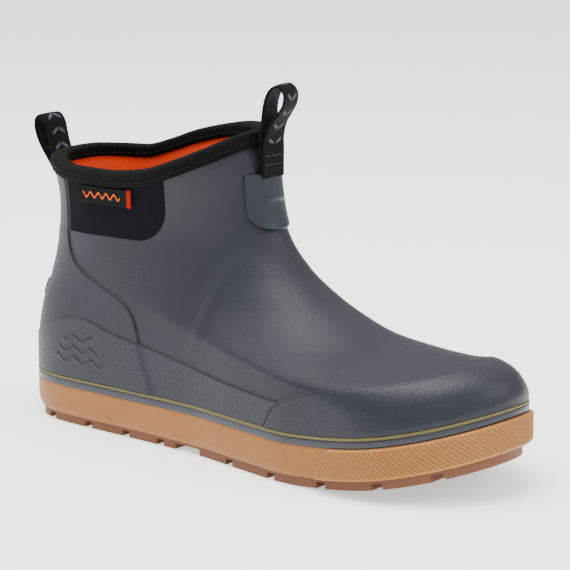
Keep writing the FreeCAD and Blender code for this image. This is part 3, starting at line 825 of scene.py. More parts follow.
@dataclass
class Upper:
    """The rubber upper, its overlays, the stretch panels, the lining and the binding."""

    finishes: Finishes
    rubber: float = 2.2
    neoprene: float = 3.0
    overlay: float = 0.95
    binding_height: float = 8.0
    binding_proud: float = 2.5
    lip: float = 1.4
    seam: Array = field(default_factory=lambda: spline([
        (-45, 24), (-48, 33), (-51.3, 41), (-54.5, 49), (-57.2, 57), (-59.3, 64), (-62, 70), (-66.5, 75),
        (-73, 78.8), (-81, 82), (-90, 85.6), (-99, 90), (-106.5, 96), (-110.3, 104), (-111.2, 115),
        (-111.5, 140), (-111.8, 170), (-112, 200)], 160))
    gore_corner: float = 17.0

    def gore_inside(self, x: Array, z: Array) -> Array:
        """Distance inside the stretch panel's outline: a block with one rounded corner."""
        front = -41.5 + (z - 127.5) * 0.104
        back_gap, low_gap, front_gap = x + 110.0, z - 110.5, front - x
        straight = np.minimum(back_gap, np.minimum(low_gap, front_gap))
        corner = self.gore_corner - np.hypot(np.maximum(self.gore_corner - low_gap, 0),
                                             np.maximum(self.gore_corner - front_gap, 0))
        near = (low_gap < self.gore_corner) & (front_gap < self.gore_corner)
        return np.where(near, np.minimum(corner, back_gap), straight)

    def counter_step(self, x: Array, z: Array, soft: float) -> Array:
        """1 behind the heel counter's seam and 0 in front of it, over a soft width."""
        return smooth_step(beside_path(self.seam, x, z), -soft / 2, soft / 2)

    def rows(self, turns: Array, count: int, low: float, drop: float) -> Array:
        """Levels for each turn, spaced almost evenly along the front, up to below the collar.

        Args:
            turns: places round the boot.
            count: rows of levels.
            low: the lowest level.
            drop: distance of the last level below the collar.

        Returns:
            Array of turns x count.
        """
        level = np.linspace(low, TOP_LEVEL, 1200)
        travel = np.concatenate([[0], np.cumsum(np.hypot(np.diff(level), np.diff(LAST.front_line(level))))])
        share = (np.interp(np.linspace(0, travel[-1], count), travel, level) - low) / (TOP_LEVEL - low)
        share = 0.65 * share + 0.35 * np.linspace(0, 1, count)
        top = LAST.collar(turns) - drop
        return low + (top[:, None] - low) * share[None, :]

    def crease(self, x: Array, z: Array) -> Array:
        """A soft ridge that runs down the side of the instep."""
        path = spline([(2, 118), (-2, 104), (-7, 94), (-11, 84), (-14, 74), (-17, 64), (-23, 52)], 40)
        across = beside_path(path, x, z)
        fade = smooth_step(z, 50, 70) * (1 - smooth_step(z, 100, 120))
        return np.exp(-(across / 3.5) ** 2) * fade

    def make_shell(self) -> None:
        """Rubber shell: sunk under the stretch panels, ridged at the instep."""
        turns = np.linspace(0, 2, 300, endpoint=False)
        level = self.rows(turns, 132, 13.0, self.lip)
        flat = LAST.flat(turns[:, None], level)
        x, y, z = flat[..., 0], flat[..., 1], flat[..., 2]
        hole = smooth_step(self.gore_inside(x, z), 0.7, 3.2)
        lateral = y < 0
        depth = -1.7 * hole + 0.8 * self.crease(x, z) * lateral
        outer = LAST.point(turns[:, None], level, depth)
        inner = LAST.point(turns[:, None], level, -self.rubber)
        make_piece("upper_shell", wall(outer, inner, True), "boot", self.finishes.upper,
                   ["rubber_upper"])

    def make_gores(self) -> None:
        """Stretch panels: ribbed elastic that bellies a little between its edges."""
        for side, name in ((Side.LATERAL, "gore_lateral"), (Side.MEDIAL, "gore_medial")):
            across = np.linspace(0, 1, 210)[:, None]
            up = np.linspace(0, 1, 150)[None, :]
            x = -111.5 + (-34.0 + 111.5) * across + 0 * up
            top = LAST.collar_line[side](x) - self.lip
            level = 109.3 + (top - 109.3) * up
            turn = LAST.turn_at(x, level, side)
            inside = self.gore_inside(x, level)
            depth = -0.5 + 0.58 * smooth_step(inside, -0.5, 0.1)
            depth = depth + 0.4 * smooth_step(inside, 1, 14)
            depth = depth + 0.08 * np.sin(across * 31 + 6 * up) * smooth_step(inside, 1, 8)
            outer = LAST.point(turn, level, depth)
            inner = LAST.point(turn, level, np.full(level.shape, -2.0))
            make_piece(name + "_panel", wall(outer, inner), "boot", self.finishes.gore,
                       [name])

    def make_lining(self) -> None:
        """Neoprene lining with an orange jersey face, slightly quilted by wear."""
        turns = np.linspace(0, 2, 220, endpoint=False)
        level = self.rows(turns, 110, 8.8, self.lip)
        flat = LAST.flat(turns[:, None], level)
        inside = -(self.rubber + 0.15 + self.neoprene)
        soft = 0.12 * np.sin(flat[..., 0] * 0.11) * np.sin(flat[..., 2] * 0.15)
        outer = LAST.point(turns[:, None], level, -(self.rubber + 0.15))
        inner = LAST.point(turns[:, None], level, inside + soft)
        make_piece("lining_sock", wall(outer, inner, True), "boot", self.finishes.jersey,
                   ["lining"])

    def make_binding(self) -> None:
        """Binding tape folded over the collar: a rounded channel with soft puckers."""
        turns = np.linspace(0, 2, 420, endpoint=False)
        top = LAST.collar(turns)
        inside = -(self.rubber + self.neoprene + 0.3)
        tall, proud, deep = self.binding_height, self.binding_proud, inside - self.lip
        middle = (proud + deep) / 2
        radius = (proud - deep) / 2
        arc = np.linspace(0, np.pi, 15)
        profile = [(0.2, -tall + 0.3), (proud * 0.55, -tall - 0.1), (proud * 0.92, -tall + 0.9),
                   (proud, -tall + 2.0), (proud * 0.97, -tall + 3.6), (proud, -tall + 5.2)]
        profile += [(middle + radius * math.cos(a), -2.6 + 2.6 * math.sin(a)) for a in arc]
        profile += [(deep, -tall + 5.0), (deep + 0.1, -tall + 3.4), (deep, -tall + 2.0),
                    (deep + 0.4, -tall + 0.7), (inside - 0.1, -tall + 0.2), (inside - 0.1, -2.8),
                    (0.2, -2.8)]
        depth = np.array([p[0] for p in profile])[None, :]
        rise = np.array([p[1] for p in profile])[None, :]
        # The stitch row pulls the tape in, so it puckers once a stitch.
        line = LAST.point(turns, top, proud)
        travel = travelled(line)
        pucker = 0.16 * np.sin(travel * 2 * np.pi / STITCH_PITCH)[:, None]
        seat = np.exp(-((rise + tall - STITCH_RISE) / 1.3) ** 2)
        outer_half = depth > 0.3
        inner_half = depth < inside - 0.3
        depth = depth - (0.45 + pucker) * seat * outer_half + (0.45 + pucker) * seat * inner_half
        grid = LAST.point(turns[:, None], top[:, None] + rise, depth)
        make_piece("binding_tape", loop_skin(grid, True), "boot", self.finishes.binding,
                   ["collar_binding"])
        row = top - tall + STITCH_RISE
        for name, at in (("outer", proud - 0.35), ("inner", deep + 0.35)):
            thread = LAST.point(turns, row, at)
            ahead = LAST.point(turns, row, at + (0.5 if name == "outer" else -0.5))
            out = ahead - thread
            out /= np.linalg.norm(out, axis=1, keepdims=True)
            thread, out = (np.vstack([line, line[:1]]) for line in (thread, out))
            make_piece("binding_stitches_" + name, stitches(thread, out, STITCH_PITCH, 3.0, 0.34), "boot",
                       self.finishes.thread)

    def place_overlay(self, name: str, node_name: str, turns: Array, level: Array, inside: Array,
                      height: Array, material: bpy.types.Material, slot: str, edge: float = 1.1,
                      **values: Array) -> None:
        """An overlay whose rounded edge dives under the rubber below it.

        Args:
            name: the piece's name.
            node_name: the CAD node that it stands for.
            turns: grid of turns.
            level: grid of levels.
            inside: grid of distances inside the overlay's outline.
            height: depth of its face where it is whole.
            material: its finish.
            slot: not used.
            edge: width over which the edge rounds off.
            values: named values at the grid's points.
        """
        depth = SINK + (height - SINK) * smooth_step(inside, -edge * 0.4, edge * 0.6)
        # A thin dark line of painted shade lies in the corner where the overlay meets the rubber below it.
        line = np.exp(-((inside + 0.05) / 0.45) ** 2) * smooth_step(level, 31, 33)
        values["motif"] = np.maximum(values.get("motif", np.zeros(level.shape)), line)
        outer = LAST.point(turns, level, depth)
        inner = LAST.point(turns, level, np.minimum(depth - 0.25, SINK - 0.2))
        make_piece(name, wall(outer, inner, **values), "boot", material, [node_name])

    def make_counter(self) -> None:
        """Heel counter overlay, with the strip that runs up to the binding."""
        start = abs(float(LAST.turn_at(np.array(-60.0), np.array(80.0), Side.LATERAL)))
        behind = abs(float(LAST.turn_at(np.array(-121.0), np.array(90.0), Side.LATERAL)))
        # Columns stand closest where the seam runs.
        turns = np.interp(np.linspace(0, 1, 310), (0, 0.38, 0.62, 1),
                          (-start, -behind, behind, start))[:, None]
        share = np.linspace(0, 1, 158)[None, :]
        top = LAST.collar(turns[:, 0])[:, None] - self.binding_height + 1.0
        level = 40.0 + (top - 40.0) * share
        turns = turns + 0 * share
        flat = LAST.flat(turns, level)
        x, z = flat[..., 0], flat[..., 2]
        inside = np.minimum(beside_path(self.seam, x, z), z - LAST.rand_line(x) + 2.5)
        # Above the stretch panel's lower edge the strip steps in a little.
        height = self.overlay - 0.3 * smooth_step(z, 109, 112)
        self.place_overlay("heel_counter_overlay", "heel_counter", turns, level, inside, height,
                           self.finishes.upper, "slate_rubber")

    def cap_inside(self, turns: Array, level: Array) -> Array:
        """Distance inside the toe cap's edge, measured along the surface."""
        up = LAST.flat(turns, level + 0.4) - LAST.flat(turns, level - 0.4)
        stretch = np.linalg.norm(up, axis=-1) / 0.8
        edge = LAST.cap_level(turns[:, 0])
        slope = np.gradient(edge, axis=0)
        run = np.linalg.norm(np.gradient(LAST.flat(turns[:, 0], edge), axis=0), axis=-1)
        lean = 1 / np.sqrt(1 + (slope / np.maximum(run, 1e-6)) ** 2)
        return (LAST.cap_level(turns) - level) * np.minimum(stretch, 3.6) * lean[:, None]

    def make_toe_cap(self) -> None:
        """Toe cap and its welt: two soft steps that run round the toe in a U."""
        start = float(LAST.turn_at(np.array(32.0), np.array(33.0), Side.MEDIAL))
        turns = np.linspace(start, 2 - start, 385)[:, None]
        for name, extra, height in (("toe_cap", 0.0, 1.45), ("toe_cap_welt", 1.3, 0.6)):
            share = np.linspace(0, 1, 100)[None, :]
            top = np.maximum(LAST.cap_level(turns) + 2.6, 33.0)
            level = OVERLAY_FOOT + (top - OVERLAY_FOOT) * share
            grid = turns + 0 * share
            inside = np.minimum(self.cap_inside(grid, level - extra), level - OVERLAY_TRIM)
            depth = np.full(level.shape, height)
            self.place_overlay(name + "_overlay", "toe_cap", grid, level, inside, depth,
                               self.finishes.overlay, "slate_overlay", 1.0)

    def wave_motif(self, x: Array, z: Array) -> Array:
        """Three plain wave lines, one above the other, as a moulded ornament."""
        mark = np.zeros(x.shape)
        for row, (left, right) in enumerate(((-121.0, -83.0), (-118.0, -86.0), (-114.0, -90.0))):
            middle = 40.5 + 6.0 * row + 1.5 * np.sin((x + 121) * 2 * np.pi / 12.7)
            ends = smooth_step(x, left, left + 2) * (1 - smooth_step(x, right - 2, right))
            mark = np.maximum(mark, np.exp(-((z - middle) / 0.85) ** 2) * ends)
        return mark

    def make_rands(self) -> None:
        """Low side overlays: they bulge over the heel counter and end under the toe cap."""
        for side, name in ((Side.LATERAL, "side_rand_lateral"), (Side.MEDIAL, "side_rand_medial")):
            end = abs(float(LAST.turn_at(np.array(58.0), np.array(33.0), side)))
            turns = side.value * np.linspace(-0.012, end, 420)[:, None]
            share = np.linspace(0, 1, 84)[None, :]
            place = LAST.flat(turns, np.full(turns.shape, 45.0))[..., 0]
            level = OVERLAY_FOOT + (LAST.rand_line(place) + 3.0 - OVERLAY_FOOT) * share
            grid = turns + 0 * share
            flat = LAST.flat(grid, level)
            x, z = flat[..., 0], flat[..., 2]
            inside = np.minimum(LAST.rand_line(x) - z, -self.cap_inside(grid, level) - 0.2)
            inside = np.minimum(inside, level - OVERLAY_TRIM)
            mark = self.wave_motif(x, z) * (side is Side.LATERAL)
            height = self.overlay + 0.75 * self.counter_step(x, z, 7.0) + 0.28 * mark
            self.place_overlay(name + "_overlay", name, grid, level, inside, height,
                               self.finishes.overlay, "slate_overlay", 1.0, motif=mark * 0.75)

    def make_all(self) -> None:
        """Make every piece of the upper in order."""
        self.make_shell()
        self.make_gores()
        self.make_lining()
        self.make_binding()
        self.make_counter()
        self.make_toe_cap()
        self.make_rands()


# ------------------------------------------------------------------ sole

@dataclass
class Sole:
    """Wall, stripes, bumper, badge, tread and the layers under the foot."""

    finishes: Finishes
    depth: float = 1.7
    tread_top: float = 8.3
    wall_top: float = 25.2
    stripe_top: float = 28.7
    pinstripe_top: float = 31.0
    diamond_mm: float = 2.1

    def bulge(self, turns: Array) -> Array:
        """How far the layers below push the bands out: at the counter seam and the cap's end."""
        x = LAST.flat(turns, np.full(np.shape(turns), 30.0))[..., 0]
        behind = 0.45 * (1 - smooth_step(x, -50, -41))
        return behind + 0.45 * smooth_step(x, 34, 42)

    def ring(self, name: str, node_name: str, profile: Sequence[tuple[float, float]],
             material: bpy.types.Material, slot: str, bulge: float) -> None:
        """A closed band whose profile is a list of (depth, level) corners.

        Args:
            name: the piece's name.
            node_name: the CAD node that it stands for.
            profile: corners of its section.
            material: its finish.
            slot: not used.
            bulge: how much of the bulge it takes.
        """
        turns = np.linspace(0, 2, 380, endpoint=False)
        depth = np.array([p[0] for p in profile])[None, :]
        level = np.array([p[1] for p in profile])[None, :]
        push = bulge * self.bulge(turns)[:, None] * smooth_step(depth, 0.2, 1.2)
        grid = LAST.point(turns[:, None], level + 0 * turns[:, None], depth + push)
        make_piece(name, loop_skin(grid, True), "boot", material, [node_name])

    def make_bands(self) -> None:
        """Tan wall with rolled edges, semi-gloss stripe and round pinstripe."""
        low, high, out = self.tread_top + 0.1, self.wall_top, self.depth
        # The lower edge rolls in under itself, so the tread stands back from the wall.
        wall_profile = [(-1.9, low), (-0.9, low), (-0.35, low + 0.25), (0.05, low + 0.75), (0.55, low + 1.5),
                        (1.0, low + 2.4), (1.33, low + 3.6), (out - 0.2, low + 5.2), (out - 0.08, low + 8),
                        (out, high - 4), (out, high - 1.2), (out - 0.15, high - 0.35), (out - 0.5, high),
                        (0.15, high), (0.15, low + 5)]
        self.ring("foxing_wall", "foxing_band", wall_profile, self.finishes.wall, "tan_wall", 0.35)
        low, high, out = self.wall_top - 0.2, self.stripe_top + 0.1, self.depth - 0.35
        stripe = [(0.15, low), (out - 0.2, low), (out, low + 0.3), (out, low + 1.5), (out - 0.03, high - 0.6),
                  (out - 0.15, high - 0.15), (out - 0.4, high), (0.15, high)]
        self.ring("grey_stripe", "stripe_band", stripe, self.finishes.stripe, "grey_stripe", 0.9)
        low, high, out = self.stripe_top, self.pinstripe_top - 0.5, self.depth - 0.35
        arc = np.linspace(-np.pi / 2, np.pi / 2, 9)
        middle = (low + high) / 2
        bead = [(0.15, low)] + [(out - 0.75 + 0.75 * math.cos(a), middle + (high - low) / 2 * math.sin(a))
                                for a in arc] + [(0.15, high)]
        self.ring("olive_pinstripe", "pinstripe", bead, self.finishes.pinstripe, "olive_stripe", 0.95)

    def make_bumper(self) -> None:
        """Toe bumper with a moulded diamond pattern.

        Two families of grooves cross at a slant. The relief is the product of two
        raised cosines of the distance across each family.
        """
        low, high = self.tread_top + 0.7, self.wall_top - 0.2
        share = np.linspace(0, 1, 860)[:, None]
        rise = np.linspace(0, 1, 56)[None, :]
        level = low + (high - low) * rise + 0 * share
        # Its ends slant backwards and are rounded at the top and the bottom.
        back = (69.0 + 8.0 * rise + 2.0 * smooth_step(rise, 0.84, 1.0)
                + 1.6 * (1 - smooth_step(rise, 0, 0.16)))
        first = LAST.turn_at(back, level, Side.MEDIAL)
        last = 2 + LAST.turn_at(back, level, Side.LATERAL)
        turns = first + (last - first) * share
        base = LAST.point(turns, level, np.full(level.shape, self.depth))
        travel = grid_lengths(base)[..., 0] / MM
        up = level - low
        lean = 0.75
        one = np.cos(np.pi * (travel * lean + up) / self.diamond_mm) ** 2
        two = np.cos(np.pi * (travel * lean - up) / self.diamond_mm) ** 2
        length = travel[-1:, :]
        edge = np.minimum(np.minimum(travel, length - travel), np.minimum(up, (high - low) - up))
        pattern = 0.6 * (0.25 * (one + two) + 0.75 * one * two) * smooth_step(edge, 0.8, 1.4)
        depth = self.depth - 0.1 + 1.7 * smooth_step(edge, -0.3, 0.9) + pattern
        outer = LAST.point(turns, level, depth)
        inner = LAST.point(turns, level, np.full(level.shape, self.depth - 0.6))
        # The diamonds' grooves and the bumper's edge are painted darker: painted shade.
        groove_shade = smooth_step(edge, 0.8, 1.4) * (1 - np.clip(pattern / 0.45, 0, 1))
        groove_shade = 0.75 * np.maximum(groove_shade, np.exp(-(edge / 0.3) ** 2))
        make_piece("toe_bumper_diamonds", wall(outer, inner, motif=groove_shade), "boot", self.finishes.bumper,
                   ["toe_bumper"])

    def make_badge(self) -> None:
        """Plain heel badge: a rounded plate with a raised rim and two raised bars."""
        half, low, high = 20.0, 17.0, 29.0
        across = np.linspace(-1, 1, 160)[:, None]
        level = np.linspace(low - 0.4, high + 0.4, 60)[None, :] + 0 * across
        table = np.linspace(-0.4, 0.4, 800)
        widths = LAST.flat(table, np.full(table.shape, 23.0))[..., 1]
        turns = np.interp(across * (half + 0.6), widths, table) + 0 * level
        y = across * (half + 0.6) + 0 * level
        corner = 3.0
        inside = inside_rounded(y, level, half, low, high, corner, corner)
        rim = np.exp(-((inside - 1.5) / 0.5) ** 2)
        bars = sum(np.exp(-((level - middle) / 0.7) ** 2) * (1 - smooth_step(np.abs(y), 11, 12.5))
                   for middle in (21.4, 24.6))
        depth = self.depth - 0.7 + 2.1 * smooth_step(inside, -0.2, 0.9) + 0.3 * rim + 0.28 * bars
        outer = LAST.point(turns, level, depth)
        inner = LAST.point(turns, level, np.full(level.shape, self.depth - 1.0))
        make_piece("heel_badge_plate", wall(outer, inner), "boot", self.finishes.badge,
                   ["heel_badge"])

    def dress_layers(self) -> None:
        """Give the CAD sole layers whose shape is right their finish."""
        dress = {"outsole": self.finishes.tread, "midsole": self.finishes.foam,
                 "insole_board": self.finishes.board, "footbed": self.finishes.foam,
                 "footbed_topcloth": self.finishes.cloth}
        for name, material in dress.items():
            mesh = frame["nodes"][name].data
            mesh.materials.clear()
            mesh.materials.append(material)

    def make_all(self) -> None:
        """Make and dress every piece of the sole."""
        self.make_bands()
        self.make_bumper()
        self.make_badge()
        self.dress_layers()


# ------------------------------------------------------------------ patches, loops, label

@dataclass
class Tape:
    """One pull loop: its path in the side view, which way it faces and where it bends."""

    name: str
    body: str
    path: tuple[tuple[float, float], ...]
    root: tuple[float, float]
    bend: float
    facing: int
    twist_deg: float

    def bend_span(self) -> tuple[Vector, Vector]:
        """Points the bend distance below and above the tape's root, in metres."""
        low, high = (self.root[1] - LAST.ground + away for away in (-self.bend, self.bend))
        return Vector((self.root[0], 0, low)) * MM, Vector((self.root[0], 0, high)) * MM


@dataclass
class Fittings:
    """Rubber patches, webbing pull loops, the kick ledge and the side label."""

    finishes: Finishes
    upper: Upper
    tape_width: float = 17.0
    tape_thick: float = 1.5
    loops: tuple[Tape, ...] = (
        Tape("front", "front_loop",
             ((2.1, 146), (2.4, 150.6), (2.2, 162), (2.0, 173), (2.6, 183), (5.2, 190), (10.0, 193.0),
              (14.0, 189.5), (13.9, 184), (11.2, 179), (7.4, 173.5), (5.0, 166.5), (4.5, 159),
              (4.2, 150.6), (4.0, 146)), (3.3, 150.2), 4.0, 1, 15.0),
        Tape("rear", "rear_loop",
             ((-133.0, 119.5), (-134.6, 122.8), (-138.5, 131), (-142.2, 137.5), (-145, 143.5), (-147, 150),
              (-148.6, 157), (-150.2, 163), (-153.6, 166.7), (-157.2, 165), (-158.0, 160.5),
              (-156.4, 154), (-153.0, 147.5), (-148.6, 141.3), (-143.6, 134.8), (-139.8, 129.3),
              (-136.4, 122.8), (-134.6, 119.5)), (-135.5, 122.4), 4.0, -1, 6.0),
    )

    def make_loop(self, tape: Tape) -> None:
        """A webbing loop: a flat section with rounded edges carried along the path.

        The print is a row of plain chevrons, fainter on the inside.

        Args:
            tape: which loop.
        """
        line = spline(tape.path, 240)
        tangent = np.gradient(line, axis=0)
        tangent /= np.linalg.norm(tangent, axis=1, keepdims=True)
        outward = np.stack([-tangent[:, 1], tangent[:, 0]], -1) * tape.facing
        section_y, section_t = flat_section(self.tape_width, self.tape_thick, 64, 5)
        travel = travelled(line)
        # Selvedges wander a fraction of a millimetre, and the tape cups slightly across.
        wander = 0.12 * np.sin(travel / 5.3)[:, None]
        arch = np.sin(travel / travel[-1] * np.pi)[:, None]
        cup = 0.3 * (2 * section_y[None, :] / self.tape_width) ** 2 * arch
        offset = section_t[None, :] - cup
        x = line[:, :1] + outward[:, :1] * offset
        z = line[:, 1:] + outward[:, 1:] * offset
        y = section_y[None, :] + wander + 0 * x
        # The loop stands a little twisted above its sewn end.
        twist = math.radians(tape.twist_deg) * smooth_step(z, tape.root[1] + 6, tape.root[1] + 34)
        x, y = (tape.root[0] + (x - tape.root[0]) * np.cos(twist) - y * np.sin(twist),
                (x - tape.root[0]) * np.sin(twist) + y * np.cos(twist))
        grid = np.stack([x, y, z - LAST.ground], -1)
        width = section_y[None, :] + 0 * x
        phase = (travel[:, None] + 0.55 * np.abs(width)) % 8.4
        chevron = smooth_step(phase, 0.0, 0.5) * (1 - smooth_step(phase, 1.7, 2.2))
        chevron = chevron * (1 - smooth_step(np.abs(width), 4.8, 5.3)) * smooth_step(np.abs(width), 0.4, 0.8)
        away = smooth_step(travel, 17, 18)[:, None] * smooth_step(travel[-1] - travel, 17, 18)[:, None]
        face = section_t[None, :] + 0 * x
        reverse = smooth_step(-face, 0.1, 0.4) * (1 - smooth_step(np.abs(width), 7.2, 7.7))
        facing = chevron * away * np.where(face > 0.3, 1.0, 0.45 * (face < -0.3))
        make_piece(tape.name + "_loop_webbing",
                   loop_skin(grid, False, motif=facing, reverse=reverse * 0.35), tape.body,
                   self.finishes.tape, [tape.name + "_pull_loop"], tape.bend_span())

    @staticmethod
    def patch_grid(half: float, low: float, high: float, centre_turn: float,
                   margin: float) -> tuple[Array, Array, Array]:
        """Grid of turns and levels that covers a patch at the front or the back.

        Args:
            half: half its width.
            low: its lower edge.
            high: its upper edge.
            centre_turn: 1 at the front, 0 at the back.
            margin: extra on every side.

        Returns:
            Turns, levels and the y places.
        """
        y = np.linspace(-half - margin, half + margin, 120)
        level = np.linspace(low - margin, high + margin, 100)
        table = np.linspace(-0.45, 0.45, 900)
        turns = np.empty((len(y), len(level)))
        for k, height in enumerate(level):
            places = LAST.flat(centre_turn + table, np.full(table.shape, height))[..., 1]
            order = np.argsort(places)
            turns[:, k] = np.interp(y, places[order], table[order]) + centre_turn
        return turns, np.broadcast_to(level[None, :], turns.shape), np.broadcast_to(y[:, None], turns.shape)

    def make_patch(self, name: str, node_name: str, span: tuple[float, float], half: float, turn: float,
                   floor: float, height: float, corner: float, tape_low: float | None) -> None:
        """A moulded rubber patch: soft edged, with the tape's bump under it.

        Args:
            name: the piece's name.
            node_name: the CAD node that it stands for.
            span: its lower and upper edge.
            half: half its width.
            turn: 1 at the front, 0 at the back.
            floor: depth that it sits on.
            height: its thickness.
            corner: radius of its lower corners.
            tape_low: lower end of the tape under it, or None.
        """
        turns, level, y = self.patch_grid(half, span[0], span[1], turn, 1.2)
        inside = inside_rounded(y, level, half, span[0], span[1], corner, 1.6)
        depth = floor + SINK + (height - SINK) * smooth_step(inside, -0.35, 0.75) ** 0.7
        if tape_low is not None:
            bump = (1 - smooth_step(np.abs(y), 6.6, 9.4)) * smooth_step(level, tape_low - 1.6, tape_low + 1.0)
            depth = depth + 1.0 * bump * smooth_step(inside, -0.2, 1.5)
        # Its face is slightly pillowed.
        depth = depth + 0.25 * smooth_step(inside, 0, 7)
        outer = LAST.point(turns, level, depth)
        inner = LAST.point(turns, level, np.minimum(depth - 0.3, floor - 0.7))
        # A thin dark line of painted shade runs round the patch's edge, where it meets the rubber below.
        line = 0.8 * np.exp(-((inside + 0.05) / 0.35) ** 2)
        make_piece(name, wall(outer, inner, motif=line), "boot", self.finishes.patch, [node_name])

    def make_tail(self, name: str, turn: float, low: float, high: float, floor: float) -> None:
        """The sewn end of a loop, flat against the boot.

        Args:
            name: front or rear.
            turn: 1 at the front, 0 at the back.
            low: its lower end.
            high: its upper end.
            floor: depth that it lies on.
        """
        half = self.tape_width / 2
        turns, level, y = self.patch_grid(half, low, high, turn, 0.0)
        inside = inside_rounded(y, level, half, low, high, 0.8, 0.8)
        depth = floor + 0.3 + 1.2 * smooth_step(inside, -0.1, 0.7)
        outer = LAST.point(turns, level, depth)
        inner = LAST.point(turns, level, np.full(level.shape, floor - 0.1))
        zero = np.zeros(level.shape)
        make_piece(name + "_loop_sewn_end", wall(outer, inner, motif=zero, reverse=zero), "boot",
                   self.finishes.tape, [name + "_loop_tail"])

    def make_bartacks(self) -> None:
        """Two rows of pale stitches across the front loop, just above the patch."""
        rows = []
        count = 60
        for height in (152.6, 157.2):
            y = np.linspace(-7.0, 7.0, count)
            x = np.interp(height, (150.6, 159, 166.5), (4.2, 4.5, 5.0)) + self.tape_thick / 2 + 0.02
            line = np.stack([np.full(count, x), y, np.full(count, height - LAST.ground)], -1)
            out = np.tile([1.0, 0.0, 0.0], (count, 1))
            rows.append(stitches(line, out, 1.9, 1.35, 0.2))
        make_piece("front_loop_bartacks", rows[0].joined(rows[1]), "front_loop",
                   self.finishes.pale_thread, bend=self.loops[0].bend_span())

    def make_label(self) -> None:
        """Folded woven label: a soft slab hung from the binding, with a plain wave motif."""
        low, high = (np.array(corner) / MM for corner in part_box("side_label"))
        joint = next(j for j in frame["joints"] if j["name"] == "label_flip")
        along = np.array(joint["axis"], float)
        middle = np.array(joint["pos_m"], float) / MM
        out = np.array([along[1], -along[0], 0.0])
        long, tall, thick = 37.0, high[2] - low[2], 1.1
        u = np.linspace(-0.5, 0.5, 150)[:, None]
        sz, st = flat_section(tall, thick, 50, 5)
        sz, st = sz[None, :], st[None, :]
        wave = 0.10 * np.sin(u * 14) * (0.5 - sz / tall)
        place_u = u * long + 0 * sz
        depth = st + wave - thick / 2
        height = sz - tall / 2 + 0.12 * np.sin(u * 9) * (0.5 - sz / tall)
        grid = middle + place_u[..., None] * along + depth[..., None] * out
        grid = grid + height[..., None] * np.array([0, 0, 1.0])
        face = smooth_step(st + 0 * u, 0.05, 0.3)
        line = -tall / 2 + 1.3 * np.sin(place_u * 2 * np.pi / 5.6)
        motif = np.exp(-((height - line) / 0.55) ** 4) * (1 - smooth_step(np.abs(place_u + 2.0), 13.0, 13.4))
        fold = smooth_step(place_u, long / 2 - 2.8, long / 2 - 2.4)
        make_piece("side_label_woven", loop_skin(grid, False, motif=motif * face, reverse=fold), "label",
                   self.finishes.label, ["side_label"])

    def make_all(self) -> None:
        """Make every fitting in order."""
        over = self.upper.overlay
        self.make_patch("front_patch_rubber", "front_patch", (119.0, 148.0), 15.0, 1.0, 0.0, 1.9, 10.0, 134.0)
        self.make_patch("rear_patch_rubber", "rear_patch", (94.0, 121.0), 15.0, 0.0, over, 1.8, 9.0, 100.0)
        self.make_patch("heel_kick_ledge_rubber", "heel_kick_ledge", (66.0, 77.0), 16.0, 0.0, over, 2.8, 3.0,
                        None)
        self.make_tail("front", 1.0, 134.0, 150.0, 0.0)
        self.make_tail("rear", 0.0, 100.0, 122.0, over)
        for tape in self.loops:
            self.make_loop(tape)
        self.make_bartacks()
        self.make_label()


# ------------------------------------------------------------------ studio

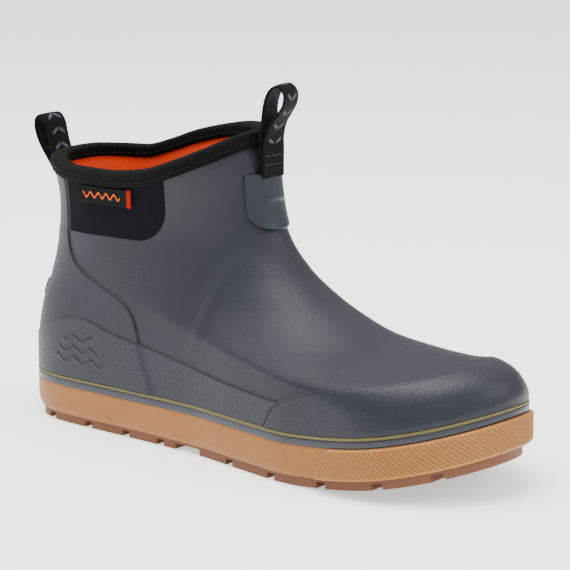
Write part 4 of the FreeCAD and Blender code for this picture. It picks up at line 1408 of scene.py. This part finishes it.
@dataclass
class Studio:
    """Pale floor, soft light and the camera."""

    camera_at: tuple[float, float, float] = (0.6624, -0.8011, 0.3029)
    target: tuple[float, float, float] = (0.01157, 0.0, 0.08685)
    roll_deg: float = -0.2907
    lens_mm: float = 130.1

    def make_camera(self) -> None:
        """Aim the camera at the target and turn it by the roll."""
        data = bpy.data.cameras.new("camera")
        data.lens = self.lens_mm
        data.sensor_width = 36.0
        camera = bpy.data.objects.new("camera", data)
        bpy.context.scene.collection.objects.link(camera)
        look = Vector(self.target) - Vector(self.camera_at)
        turn = look.to_track_quat("-Z", "Y").to_matrix().to_4x4()
        roll = Matrix.Rotation(math.radians(self.roll_deg), 4, "Z")
        camera.matrix_world = Matrix.Translation(self.camera_at) @ turn @ roll
        bpy.context.scene.camera = camera

    def make_floor(self) -> None:
        """A wide, flat white floor that glows weakly."""
        material, tree, shader = start_material("studio_paper_white")
        shader.inputs["Roughness"].default_value = 0.9
        shader.inputs["Specular IOR Level"].default_value = 0.1
        shader.inputs["Emission Color"].default_value = (1.0, 1.0, 1.0, 1.0)
        shader.inputs["Emission Strength"].default_value = 0.7
        place = node(tree, "ShaderNodeTexCoord").outputs["Object"]
        noise = node(tree, "ShaderNodeTexNoise", Vector=place, Scale=3.0)
        colour = mixed(tree, noise.outputs["Fac"], "#fbfbfb", "#ffffff")
        tree.links.new(colour, shader.inputs["Base Color"])
        size = 6.0
        mesh = bpy.data.meshes.new("floor")
        mesh.from_pydata([(-size, -size, 0), (size, -size, 0), (size, size, 0), (-size, size, 0)], [],
                         [(0, 1, 2, 3)])
        mesh.materials.append(material)
        floor = bpy.data.objects.new("floor", mesh)
        bpy.context.scene.collection.objects.link(floor)

    def make_light(self, name: str, at: tuple[float, float, float], size: float, power: float) -> None:
        """A soft square light that points at the boot."""
        data = bpy.data.lights.new(name, "AREA")
        data.shape = "SQUARE"
        data.size = size
        data.energy = power
        light = bpy.data.objects.new(name, data)
        look = Vector((0, 0, 0.08)) - Vector(at)
        light.matrix_world = Matrix.Translation(at) @ look.to_track_quat("-Z", "Y").to_matrix().to_4x4()
        bpy.context.scene.collection.objects.link(light)

    def make_all(self) -> None:
        """Make the camera, the floor, the lights and a white world."""
        self.make_camera()
        self.make_floor()
        self.make_light("key_light", (0.0, -0.35, 1.9), 1.2, 52.0)
        self.make_light("toe_light", (1.6, 0.6, 1.1), 0.8, 14.0)
        self.make_light("heel_light", (-1.5, -0.5, 1.0), 0.8, 12.0)
        world = bpy.data.worlds.new("white_room")
        world.use_nodes = True
        tree = world.node_tree
        background = tree.nodes["Background"]
        background.inputs["Color"].default_value = (1.0, 1.0, 1.0, 1.0)
        # The ceiling is bright and the walls are dim, which gives the sides their shade.
        way = node(tree, "ShaderNodeTexCoord").outputs["Generated"]
        height = node(tree, "ShaderNodeSeparateXYZ", Vector=way).outputs["Z"]
        power = node(tree, "ShaderNodeMapRange", Value=height, From_Min=0.1, From_Max=0.9,
                     To_Min=0.38, To_Max=1.7)
        tree.links.new(power.outputs["Result"], background.inputs["Strength"])
        bpy.context.scene.world = world


def main() -> None:
    """Build the boot's classes in order, then the studio."""
    logging.basicConfig(level=logging.INFO, format="%(name)s: %(message)s")
    finishes = Finishes()
    upper = Upper(finishes)
    upper.make_all()
    Sole(finishes).make_all()
    Fittings(finishes, upper).make_all()
    Studio().make_all()


if __name__ == "__main__":
    main()
